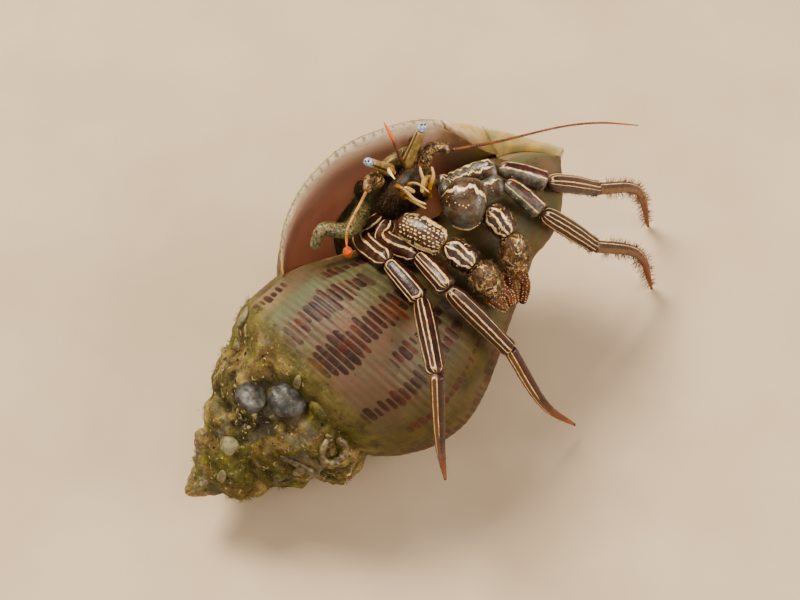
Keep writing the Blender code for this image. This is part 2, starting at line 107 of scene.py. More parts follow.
# ---- crab
BODY_CENTRE = Vector((46.5, 11.4, 34.2))
BODY_PITCH = math.radians(30)
FACING = Vector((-0.33, -0.41, 0.85))
LEG_WIDTHS = dict(merus=(2.6, 3.3, 3.0), carpus=(2.4, 3.0, 2.9), propodus=(2.7, 2.9, 2.3),
                  dactyl=(2.0, 1.9, 1.6, 1.1, 0.45))
LEG_FLATNESS = 0.72
LEG_BLUNTNESS = dict(merus=(0.3, 0.42), carpus=(0.3, 0.3), propodus=(0.3, 0.3), dactyl=(0.3, 0.6))
OVERLAP = 0.2                   # how far a piece reaches back into the joint before it
EYE_ACROSS = (0.78, -0.63, 0.0)     # from one dark spot of an eye to the other
FEELER_RING = 0.42              # the length of a feeler's rings

# ---- view and light
VIEW_AIM = (34.7, -4.6, 32.4)
VIEW_AZIMUTH, VIEW_ELEVATION = -38.92, 58.517
VIEW_DISTANCE = 250.0
VIEW_ANGLE = math.radians(25)


# ---------------------------------------------------------------- number tools
def smooth(value):
    value = np.clip(value, 0.0, 1.0)
    return value * value * (3.0 - 2.0 * value)


def spline(points, count):
    """count points evenly spaced by chord along a Catmull-Rom curve through the given ones."""
    points = np.array(points, float)
    chord = np.linalg.norm(np.diff(points, axis=0), axis=1)
    length = np.r_[0.0, np.cumsum(chord)]
    ends = np.vstack([2 * points[0] - points[1], points, 2 * points[-1] - points[-2]])
    at = np.linspace(0.0, length[-1], count)
    i = np.clip(np.searchsorted(length, at, side="right") - 1, 0, len(points) - 2)
    t = ((at - length[i]) / chord[i])[:, None]
    a, b, c, d = (ends[i + k] for k in range(4))
    return 0.5 * (2 * b + (c - a) * t + (2 * a - 5 * b + 4 * c - d) * t ** 2
                  + (3 * b - a - 3 * c + d) * t ** 3)


def lattice(cells, seed):
    """A repeatable value from 0 to 1 for each whole-number cell."""
    x, y, z = (cells[..., i].astype(np.int64) for i in range(3))
    mixed = (x * 73856093) ^ (y * 19349663) ^ (z * 83492791) ^ (seed * 2654435761)
    mixed = (mixed ^ (mixed >> 13)) * 1274126177
    return ((mixed ^ (mixed >> 16)) & 0xFFFF) / 65535.0


def value_noise(points, seed):
    base = np.floor(points)
    part = smooth(points - base)
    total = 0.0
    for corner in np.ndindex(2, 2, 2):
        weight = np.prod([part[..., i] if c else 1.0 - part[..., i] for i, c in enumerate(corner)], axis=0)
        total = total + weight * lattice(base + np.array(corner), seed)
    return total * 2.0 - 1.0


def lumps(points, size, octaves, seed):
    """Soft noise from about -1 to 1, whose largest features are about size across."""
    points = np.asarray(points, float)
    total, weight = 0.0, 1.0
    for k in range(octaves):
        total = total + weight * value_noise(points * (2.03 ** k / size) + 11.7 * k, seed + k)
        weight *= 0.5
    return total / 1.6


def layered(points, layers):
    """The sum of several noises."""
    return sum(lumps(points, size, octaves, seed) * height for size, octaves, seed, height in layers)


# ---------------------------------------------------------------- frames
SHELL_AXES = np.array(Matrix.Rotation(-SHELL_PITCH, 3, "Y") @ Matrix.Rotation(SHELL_ROLL, 3, "X"))


def stand(points):
    """Shell-frame points as standing-frame points."""
    return np.asarray(points, float) @ SHELL_AXES.T + np.array([0.0, 0.0, APEX_HEIGHT])


def place(points):
    """Standing-frame millimetres as metres in the row frame."""
    return (np.asarray(points, float).reshape(-1, 3) - ORIGIN) * MM


def body_axes():
    along, to_lip, outward = (Vector(SHELL_AXES[:, i]) for i in range(3))
    anterior = outward * math.cos(BODY_PITCH) + to_lip * math.sin(BODY_PITCH)
    dorsal = to_lip * math.cos(BODY_PITCH) - outward * math.sin(BODY_PITCH)
    return along, dorsal, anterior


BODY_AXES = body_axes()


def body(left, dorsal, anterior):
    """A point given in the crab's body frame."""
    offsets = (left, dorsal, anterior)
    return BODY_CENTRE + sum((axis * d for axis, d in zip(BODY_AXES, offsets)), Vector())


# ---------------------------------------------------------------- meshes
def new_piece(name, points, faces, paint, marks=None, nodes=(), slot=None, patches=None):
    """A mesh object from standing-frame points. marks are point attributes that its material reads,
    nodes are the solids that it stands for, and patches are its corners' places on the OFBake map."""
    points = np.array(points, float).reshape(-1, 3)
    points[:, 2] = np.maximum(points[:, 2], 0.0)
    mesh = bpy.data.meshes.new(name)
    mesh.from_pydata(place(points).tolist(), [], faces)
    for mark, values in (marks or {}).items():
        layer = mesh.attributes.new(mark, "FLOAT", "POINT")
        layer.data.foreach_set("value", np.asarray(values, np.float32).ravel())
    mesh.materials.append(paint)
    mesh.shade_smooth()
    if patches is not None:
        loops = np.empty(len(mesh.loops), np.int32)
        mesh.loops.foreach_get("vertex_index", loops)
        layer = mesh.uv_layers.new(name="OFBake")
        layer.data.foreach_set("uv", np.asarray(patches, np.float32)[loops].ravel())
    made = bpy.data.objects.new(name, mesh)
    bpy.context.scene.collection.objects.link(made)
    if nodes:
        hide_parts(*nodes)
    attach(made, BODY)
    return made


def tube_faces(rings, sides):
    """Quads of a tube whose points count up round each ring."""
    i, j = np.meshgrid(np.arange(rings - 1), np.arange(sides), indexing="ij")
    k = (j + 1) % sides
    quads = np.stack([i * sides + j, i * sides + k, (i + 1) * sides + k, (i + 1) * sides + j], -1)
    return quads.reshape(-1, 4).tolist()


class Heap:
    """Collects many small shapes into one mesh."""

    def __init__(self):
        self.points, self.faces, self.marks, self.patches, self.count = [], [], {}, [], 0

    def add(self, points, faces, patch=None, **marks):
        points = np.asarray(points, float).reshape(-1, 3)
        self.points.append(points)
        self.faces += [[index + self.count for index in face] for face in faces]
        self.count += len(points)
        for mark, values in marks.items():
            self.marks.setdefault(mark, []).append(np.broadcast_to(values, len(points)))
        if patch is not None:
            self.patches.append(patch)

    def roughen(self, size, octaves, seed, height):
        """Moves all points by up to about height millimetres of noise."""
        points = np.concatenate(self.points)
        self.points = [points + lumps(points, size, octaves, seed)[:, None] * height]

    def piece(self, name, paint, **more):
        marks = {mark: np.concatenate(values) for mark, values in self.marks.items()}
        patches = np.concatenate(self.patches) if self.patches else None
        new_piece(name, np.concatenate(self.points), self.faces, paint, marks, patches=patches, **more)


# ---------------------------------------------------------------- materials
def linear(colour):
    """A hex colour as linear light."""
    parts = [int(colour[i:i + 2], 16) / 255 for i in (1, 3, 5)]
    return [p / 12.92 if p <= 0.04045 else ((p + 0.055) / 1.055) ** 2.4 for p in parts] + [1.0]


class Field:
    """A number that varies over a surface: a socket that can be added, multiplied and shaped."""

    def __init__(self, paint, socket):
        self.paint, self.socket = paint, socket

    def op(self, kind, *others):
        node = self.paint.tree.nodes.new("ShaderNodeMath")
        node.operation = kind
        for slot, value in zip(node.inputs, (self, *others)):
            self.paint.feed(slot, value)
        return Field(self.paint, node.outputs[0])

    def __add__(self, other):
        return self.op("ADD", other)

    def __sub__(self, other):
        return self.op("SUBTRACT", other)

    def __mul__(self, other):
        return self.op("MULTIPLY", other)

    def __truediv__(self, other):
        return self.op("DIVIDE", other)

    def __rsub__(self, other):
        return self.op("MULTIPLY", -1.0).op("ADD", other)

    def __abs__(self):
        return self.op("ABSOLUTE")

    __radd__, __rmul__ = __add__, __mul__

    def near(self, centre, width, edge):
        """1 within width of centre, falling to 0 over a share of that width."""
        off = abs(self - centre)
        return off.between(width * (1 + edge), width * (1 - edge))

    def between(self, low, high):
        """0 at low, 1 at high, with an even curve between."""
        node = self.paint.tree.nodes.new("ShaderNodeMapRange")
        node.interpolation_type = "SMOOTHSTEP"
        self.paint.feed(node.inputs[0], self)
        self.paint.feed(node.inputs[1], low)
        self.paint.feed(node.inputs[2], high)
        return Field(self.paint, node.outputs[0])

    def fraction(self):
        return self.op("FRACT")

    def floor(self):
        return self.op("FLOOR")

    def most(self, other):
        return self.op("MAXIMUM", other)


def greatest(fields):
    """The greatest of several fields at each place."""
    return reduce(Field.most, fields)


class Paint:
    """One procedural material in the making."""
    ROUGHNESS = 0.55                # how much of the fine detail its noises have

    def __init__(self, name, roughness=0.5, **settings):
        self.material = bpy.data.materials.new(name)
        self.material.use_nodes = True
        self.tree = self.material.node_tree
        self.surface = self.tree.nodes["Principled BSDF"]
        self.surface.inputs["Roughness"].default_value = roughness
        for socket, value in settings.items():
            self.surface.inputs[socket.replace("_", " ")].default_value = value
        self.where = self.tree.nodes.new("ShaderNodeTexCoord").outputs["Object"]

    def feed(self, slot, value):
        if isinstance(value, Field):
            self.tree.links.new(value.socket, slot)
        elif isinstance(value, bpy.types.NodeSocket):
            self.tree.links.new(value, slot)
        elif isinstance(value, str):
            slot.default_value = linear(value)
        else:
            slot.default_value = value

    def mark(self, name):
        node = self.tree.nodes.new("ShaderNodeAttribute")
        node.attribute_name = name
        return Field(self, node.outputs["Fac"])

    def marks(self, names):
        return [self.mark(name) for name in names.split()]

    def at(self, x, y, z=0.0):
        node = self.tree.nodes.new("ShaderNodeCombineXYZ")
        for slot, value in zip(node.inputs, (x, y, z)):
            self.feed(slot, value)
        return node.outputs[0]

    def noise(self, size, detail, at=None, twist=0.0):
        """Soft noise from 0 to 1. size is in millimetres, or in the units of at."""
        node = self.tree.nodes.new("ShaderNodeTexNoise")
        self.feed(node.inputs["Vector"], at if at is not None else self.where)
        node.inputs["Scale"].default_value = 1.0 / (size if at is not None else size * MM)
        node.inputs["Detail"].default_value = detail
        node.inputs["Roughness"].default_value = self.ROUGHNESS
        node.inputs["Distortion"].default_value = twist
        return Field(self, node.outputs["Fac"])

    def noise_at(self, detail, x, y, z=0.0):
        """Soft noise from 0 to 1 at a place made of numbers that vary over the surface."""
        return self.noise(1.0, detail, self.at(x, y, z))

    def wander(self, detail, x, y, z=0.0):
        """The same noise, from -0.5 to 0.5."""
        return self.noise_at(detail, x, y, z) - 0.5

    def cells(self, size, output="Distance", spread=1.0):
        """Cells about size millimetres across: the distance from their middles, or a value for each."""
        node = self.tree.nodes.new("ShaderNodeTexVoronoi")
        self.feed(node.inputs["Vector"], self.where)
        node.inputs["Scale"].default_value = 1.0 / (size * MM)
        node.inputs["Randomness"].default_value = spread
        return Field(self, node.outputs[output])

    def mix(self, a, b, share):
        """Colour a where share is 0 and b where it is 1."""
        node = self.tree.nodes.new("ShaderNodeMix")
        node.data_type = "RGBA"
        self.feed(node.inputs[0], share)
        self.feed(node.inputs[6], a)
        self.feed(node.inputs[7], b)
        return node.outputs[2]

    def mottle(self, a, b, size, detail, low, high, most=None):
        """Colour a that turns to b, or to a share most of b, where a noise rises from low to high."""
        share = self.noise(size, detail).between(low, high)
        return self.mix(a, b, share if most is None else share * most)

    def finish(self, colour, height=None, depth=0.2, roughness=None):
        """Links the colour, a bump whose height is in units of depth millimetres, and the roughness."""
        self.feed(self.surface.inputs["Base Color"], colour)
        if height is not None:
            bump = self.tree.nodes.new("ShaderNodeBump")
            bump.inputs["Strength"].default_value = 1.0
            bump.inputs["Distance"].default_value = depth * MM
            self.feed(bump.inputs["Height"], height)
            self.tree.links.new(bump.outputs[0], self.surface.inputs["Normal"])
        if roughness is not None:
            self.feed(self.surface.inputs["Roughness"], roughness)
        return self.material


# ---------------------------------------------------------------- shell form
def whorl_profile():
    """(x, radius) over the length, from the suture over the shoulder to the canal's end."""
    (x0, r0), (x1, r1), tip = SUTURE, SHOULDER, CANAL_RADIUS
    back = [(x0 + f * (x1 - x0), r0 + g * (r1 - r0)) for f, g in ((0, 0), (.12, .32), (.31, .64), (.62, .91))]
    front = [(x1 + f * (1 - x1), tip + g * (r1 - tip)) for f, g in
             ((.45, CANAL_FULLNESS), (.66, .62 * CANAL_FULLNESS), (.84, .27 * CANAL_FULLNESS), (1, 0))]
    return spline(back + [(x1, r1), (x1 + .2 * (1 - x1), .955 * r1)] + front, 120)


PROFILE = whorl_profile()
ALONG = np.linspace(0.0, 1.0, len(PROFILE))


def whorl(angle):
    """(x, radius) of the whorl at a running angle; the lip is at a full turn."""
    scale = WHORL_GROWTH ** (angle / TURN - 1.0)
    hold = 1.0 - (1.0 - CANAL_GROWTH) * smooth((ALONG - 0.55) / 0.45)
    return PROFILE[:, 0] * scale ** hold * SHELL_LENGTH, PROFILE[:, 1] * scale * SHELL_LENGTH


def whorl_reach(x, angle):
    """(radius, share of the profile) of the whorl at stations x, falling away outside its ends."""
    stations, radii = whorl(angle)
    radius = np.interp(x, stations, radii)
    short, past = np.maximum(stations[0] - x, 0.0), np.maximum(x - stations[-1], 0.0)
    return radius - 3.0 * short - 40.0 * past, np.interp(x, stations, ALONG)


def soft_max(a, b, width):
    share = np.clip(0.5 + 0.5 * (a - b) / width, 0.0, 1.0)
    return b + (a - b) * share + width * share * (1.0 - share)


def columella_radius(x):
    t = (x - COLUMELLA["centre"]) / COLUMELLA["half_length"]
    swell = COLUMELLA["radius"] * np.sqrt(np.clip(1.0 - t * t, 0.0, 1.0))
    return np.maximum(swell, CORE_RADIUS * (x > CORE_FROM))


def crust_fade(x):
    return 1.0 - smooth((x / SHELL_LENGTH - CRUST["full"]) / (CRUST["end"] - CRUST["full"]))


def crust_thickness(x, angle):
    """The lumpy growth that covers the spire, thickest under it and beside the lip."""
    waves = (np.sin(.42 * x + 2 * angle + .6) * np.sin(3 * angle - .13 * x + 1.1)
             + .6 * np.sin(.83 * x - 3 * angle + 2.) * np.sin(5 * angle + .4)
             + .35 * np.sin(1.3 * x + 4 * angle))
    under = (0.5 + 0.5 * np.cos(angle - UNDERSIDE)) ** 4
    station = (x / SHELL_LENGTH - CRUST_BY_LIP["station"]) / CRUST_BY_LIP["reach"]
    by_lip = (0.5 + 0.5 * np.cos(angle - CRUST_BY_LIP["angle"])) * np.exp(-station ** 2)
    depth = CRUST["thickness"] + CRUST["under"] * under + CRUST["by_lip"] * by_lip + CRUST["lump"] * waves
    return np.maximum(crust_fade(x) * depth, 0.0) * np.sqrt(np.clip((x + APEX_CAP) / 6.0, 0.0, 1.0))


def flare(angle):
    """How much narrower the last whorl is just behind its flaring lip."""
    back = np.clip((TURN - angle) / LIP_FLARE["reach"], 0.0, 1.0)
    return 1.0 - LIP_FLARE["depth"] * np.sin(math.pi * back ** LIP_FLARE["skew"])


def end_round(x, end):
    """Closes the canal to a dome over the last millimetres before its end."""
    blunt = np.clip((x - end + CANAL_ROUNDING) / CANAL_ROUNDING, 0.0, 1.0)
    return np.sqrt(1.0 - FRONT_CUT * blunt ** 2.2)


def outside(x, angle):
    """(radius, place in cords) of the shell's bare outside at stations x of one row."""
    radius, best, cord = columella_radius(x), np.zeros_like(x), np.zeros_like(x)
    for k in range(WINDINGS):
        reach, share = whorl_reach(x, angle - TURN * k)
        if k == 0:
            reach = 1.0 + (reach - 1.0) * flare(angle)
        cord = np.where(reach > best, share * CORDS, cord)
        best = np.maximum(best, reach)
        radius = soft_max(radius, reach, BLEND)
    return radius, cord


def recurve(points):
    """Bends the canal end towards the back of the shell."""
    points = np.array(points, float)
    along = (points[..., 0] / SHELL_LENGTH - CANAL_RECURVE["start"]) / CANAL_RECURVE["reach"]
    points[..., 2] -= CANAL_RECURVE["depth"] * smooth(along) ** 1.2
    return points


def round_axis(x, radius, angle):
    return np.stack([x, radius * np.cos(angle), radius * np.sin(angle)], axis=-1)


def teeth(share):
    """How far the cords stand out at places on the lip's edge."""
    return TOOTH * np.cos(TURN * (share * CORDS - 0.5)) * smooth(share / 0.06)


# Bands of dashes: (angle in degrees, half length in degrees, first x, last x). The part that faces
# the view has the bands that show there, and the far side goes on in the same rhythm.
DASH_BANDS = [(8, 5, 22, 29), (22, 4.5, 33, 46), (38, 10, 19, 38), (62, 11, 21, 42),
              (50, 5, 40, 52), (82, 5, 32, 48), (96, 5.5, 23, 47), (116, 3, 28, 46)]
DASH_BANDS += [(142 + 25 * k, 10, 24, 58) for k in range(9)]


def band_marks(x, degrees):
    """Where a row stands in its nearest band of dashes. off is 0 in the middle of the band and 1 at its
    edges, lean tells the two halves apart, and striped is 1 where the band has dashes."""
    off, lean, band, striped = np.full_like(x, 3.0), np.zeros_like(x), np.zeros_like(x), np.zeros_like(x)
    for i, (centre, reach, first, last) in enumerate(DASH_BANDS):
        here = (degrees - centre) / reach
        on = smooth((x - first + 1.0) / 2.5) * (1.0 - smooth((x - last + 1.0) / 2.5))
        nearer = (abs(here) < off) & (on > 0.02)
        off = np.where(nearer, abs(here), off)
        lean = np.where(nearer, math.sin(math.pi * here) if abs(here) < 1.0 else 0.0, lean)
        band, striped = np.where(nearer, i, band), np.where(nearer, on, striped)
    return dict(off=off, lean=lean, band=band, striped=striped)


class ShellMesh:
    """The whole shell as one mesh: outside, lip, and the inside of the last whorl."""
    ROWS, DEEP = 200, 52            # rows round the shell, and rows into its hollow
    BACK, PER_CORD = 112, 6         # columns behind the aperture, and columns for each cord beside it
    MARKS = ("cord", "turn", "off", "lean", "band", "striped", "growth", "relief", "inside", "floor", "share")

    def __init__(self):
        self.points, self.faces = [], []
        self.marks = {name: [] for name in self.MARKS}
        self.share = np.linspace(0.0, 1.0, CORDS * self.PER_CORD + 1)
        self.lip_x = np.interp(self.share, ALONG, whorl(TURN)[0])
        self.count = 0

    def put(self, row, **marks):
        """Adds points in the shell's frame and returns their numbers."""
        row = np.asarray(row, float).reshape(-1, 3)
        self.points.append(row)
        for name in self.MARKS:
            self.marks[name].append(np.broadcast_to(marks.get(name, 0.0), len(row)).astype(float))
        self.count += len(row)
        return np.arange(self.count - len(row), self.count)

    def band(self, a, b):
        """Faces between two rows of point numbers, leaving out those that have no size."""
        for k in range(len(a) - 1):
            face = list(dict.fromkeys((a[k], a[k + 1], b[k + 1], b[k])))
            if len(face) > 2:
                self.faces.append([int(p) for p in face])

    def row_x(self, angle):
        back = -APEX_CAP + (self.lip_x[0] + APEX_CAP) * np.linspace(0, 1, self.BACK, endpoint=False) ** 1.25
        front = COLUMELLA["centre"] + COLUMELLA["half_length"]
        end = max(front, SHELL_LENGTH * WHORL_GROWTH ** (CANAL_GROWTH * (angle / TURN - 1.0)))
        share = (self.lip_x - self.lip_x[0]) / (self.lip_x[-1] - self.lip_x[0])
        return np.r_[back, self.lip_x[0] + share * (end - self.lip_x[0])]

    def outer_row(self, angle):
        x = self.row_x(angle)
        radius, cord = outside(np.minimum(x, x[-1] - 0.01), angle)
        bare = round_axis(x, radius, angle)
        fade = crust_fade(x)
        crust = crust_thickness(x, angle)
        craggy = np.abs(lumps(bare, 5.0, 4, 21)) * 2.0 - 0.5
        relief = (layered(bare, CRUST_ROUGHNESS) + craggy) * fade * np.clip((x + APEX_CAP) / 4.0, 0.0, 1.0)
        worn = layered(bare, WORN_SURFACE)
        ridge = RIDGE * np.cos(TURN * (cord - 0.5)) * (1.0 - fade) * smooth((x - 18.0) / 6.0)
        ridge = ridge * (1.0 - smooth((x - 60.0) / 6.0))
        radius = radius + crust + relief + (ridge + worn) * (1.0 - fade)
        radius = radius * end_round(x, x[-1])
        points = recurve(round_axis(x, np.maximum(radius, 0.0), angle))
        degrees = math.degrees(angle)
        return points, dict(cord=cord, turn=degrees, growth=fade, relief=relief, **band_marks(x, degrees))

    def crenulate(self, rows):
        """Notches the lip's last rows between its cords."""
        tooth = teeth(self.share) * smooth((SHELL_LENGTH - CANAL_SOLID - self.lip_x) / 4.0)
        for row, share in rows:
            row[self.BACK:, 2] += tooth * share

    def build(self):
        angles = np.linspace(0.0, TURN, self.ROWS + 1)
        grids = [self.outer_row(angle) for angle in angles]
        self.crenulate([(grids[-1][0], 1.0), (grids[-2][0], 0.4)])
        outer = [self.put(points, **marks) for points, marks in grids]
        outer[-1][:self.BACK] = outer[0][:self.BACK]
        for row in outer:
            row[0] = outer[0][0]
        for a, b in zip(outer, outer[1:]):
            self.band(a, b)
        self.hollow(outer)
        self.close_front(outer)
        return self.finish()

    def hollow(self, outer):
        """The lip's edge and the inside, which narrow to nothing at both ends of the aperture."""
        lip, parietal = outer[-1][self.BACK:], outer[0][self.BACK:]
        room = whorl(TURN)[1] * end_round(whorl(TURN)[0], whorl(TURN)[0][-1]) - RIM_WALL
        inner = soft_max(columella_radius(self.lip_x), whorl_reach(self.lip_x, 0.0)[0], 0.3)
        gap = np.interp(self.share, ALONG, room) - inner * end_round(self.lip_x, self.lip_x[-1])
        wide = np.nonzero((gap > LEAST_GAP) & (self.lip_x < SHELL_LENGTH - CANAL_SOLID))[0]
        first, last = wide[0], wide[-1]
        corner = outer[0][self.BACK - 1]
        self.band(np.r_[corner, lip[:first + 1]], np.r_[corner, parietal[:first + 1]])
        self.canal_cover(lip[last:], parietal[last:])
        span = slice(first, last + 1)
        share = self.share[span]
        floor, ceiling = parietal[span], None
        start_x = np.concatenate(self.points)[floor][:, 0]
        start_end = COLUMELLA["centre"] + COLUMELLA["half_length"]
        closing = smooth((self.lip_x[last] - self.lip_x[span]) / CANAL_CLOSING)
        near, near_rows = HOLLOW_STEPS["near"], HOLLOW_STEPS["near_rows"]
        swing = np.r_[np.linspace(0, near, near_rows + 1)[:-1],
                      np.linspace(near, HOLLOW_STEPS["far"], self.DEEP - near_rows)]
        for i, back in enumerate(np.radians(swing)):
            angle = TURN - back
            x, radius = (np.interp(share, ALONG, part) for part in whorl(angle))
            wall = RIM_WALL + (WALL - RIM_WALL) * smooth(back / RIM_DEPTH)
            under_x = start_x + (x - start_x) * smooth(back / HOLLOW_START)
            under = soft_max(columella_radius(under_x), whorl_reach(under_x, angle - TURN)[0], BLEND)
            under = under * end_round(under_x, start_end)
            radius = radius * flare(angle) * end_round(x, SHELL_LENGTH)
            over = np.maximum(radius - wall, under + LEAST_ROOM)
            over = under + (over - under) * closing
            depth = back * radius
            marks = dict(turn=math.degrees(angle), share=share)
            if i == 0:
                rim = recurve(round_axis(x, radius - RIM["inset"] * RIM_WALL, angle))
                over_row = recurve(round_axis(x, over, angle))
                tooth, swell = teeth(share) * closing, RIM["swell"] * closing * (1.0 - closing)
                rim[:, 2] += RIM["lift"] * closing + RIM["tooth"] * tooth + swell
                over_row[:, 2] += RIM["inner_tooth"] * tooth + swell
                crest = self.put(rim, inside=0.02 + 1.5 * (1.0 - closing), cord=share * CORDS, **marks)
                above = self.put(over_row, inside=0.1 + 6.0 * (1.0 - closing), cord=share * CORDS, **marks)
                above[0], above[-1] = floor[0], floor[-1]
                crest[-1] = lip[last]
                self.band(lip[span], crest)
                self.band(crest, above)
                self.faces.append([int(lip[first]), int(crest[0]), int(floor[0])])
            else:
                below = self.put(recurve(round_axis(under_x, under, angle)), inside=depth, floor=1.0, **marks)
                above = self.put(recurve(round_axis(x, over, angle)), inside=depth + 0.1,
                                 cord=share * CORDS, **marks)
                above[0], above[-1] = below[0], below[-1]
                self.band(floor, below)
                self.band(ceiling, above)
                floor = below
            ceiling = above
        self.band(floor, ceiling)

    def canal_cover(self, lip, parietal):
        """A smooth bulging face over the canal's end, where it has no hollow."""
        points = np.concatenate(self.points)
        width = np.linalg.norm(points[lip] - points[parietal], axis=1)
        rise = CANAL_BULGE * width * np.sin(np.linspace(0.0, math.pi, len(lip)))
        before = lip
        for share in (0.05, 0.25, 0.5, 0.75, 0.98):
            row = points[lip] * (1.0 - share) + points[parietal] * share
            row[:, 2] += rise * math.sin(math.pi * share)
            after = self.put(row, cord=30.0 + share, turn=355.0)    # the marks of the canal's colour
            self.band(before, after)
            before = after
        self.band(before, parietal)

    def close_front(self, outer):
        """A low dome over the small opening that the rounding leaves at the canal's front."""
        edge = np.array([row[-1] for row in outer])
        points = np.concatenate(self.points)[edge]
        centre = recurve([[COLUMELLA["centre"] + COLUMELLA["half_length"] + FRONT_OUT, 0.0, 0.0]])[0]
        for share in (0.75, 0.4):
            ring = self.put(centre + (points - centre) * share + np.array([FRONT_SWELL * (1 - share), 0, 0]))
            self.band(np.r_[edge, edge[0]], np.r_[ring, ring[0]])
            edge = ring
        middle = self.put(centre + np.array([FRONT_OUT, 0.0, 0.0]))[0]
        around = np.r_[edge, edge[0]]
        self.faces += [[int(a), int(b), int(middle)] for a, b in zip(around, around[1:])]

    def finish(self):
        """(points, faces, marks), without the points that no face uses."""
        points = np.concatenate(self.points)
        used = np.zeros(len(points), bool)
        for face in self.faces:
            used[face] = True
        number = np.cumsum(used) - 1
        faces = [[int(number[p]) for p in face] for face in self.faces]
        marks = {name: np.concatenate(parts)[used] for name, parts in self.marks.items()}
        return stand(points[used]), faces, marks


def face_outwards(piece):
    work = bmesh.new()
    work.from_mesh(piece.data)
    bmesh.ops.recalc_face_normals(work, faces=work.faces)
    if work.calc_volume(signed=True) < 0:
        bmesh.ops.reverse_faces(work, faces=work.faces)
    work.to_mesh(piece.data)
    work.free()


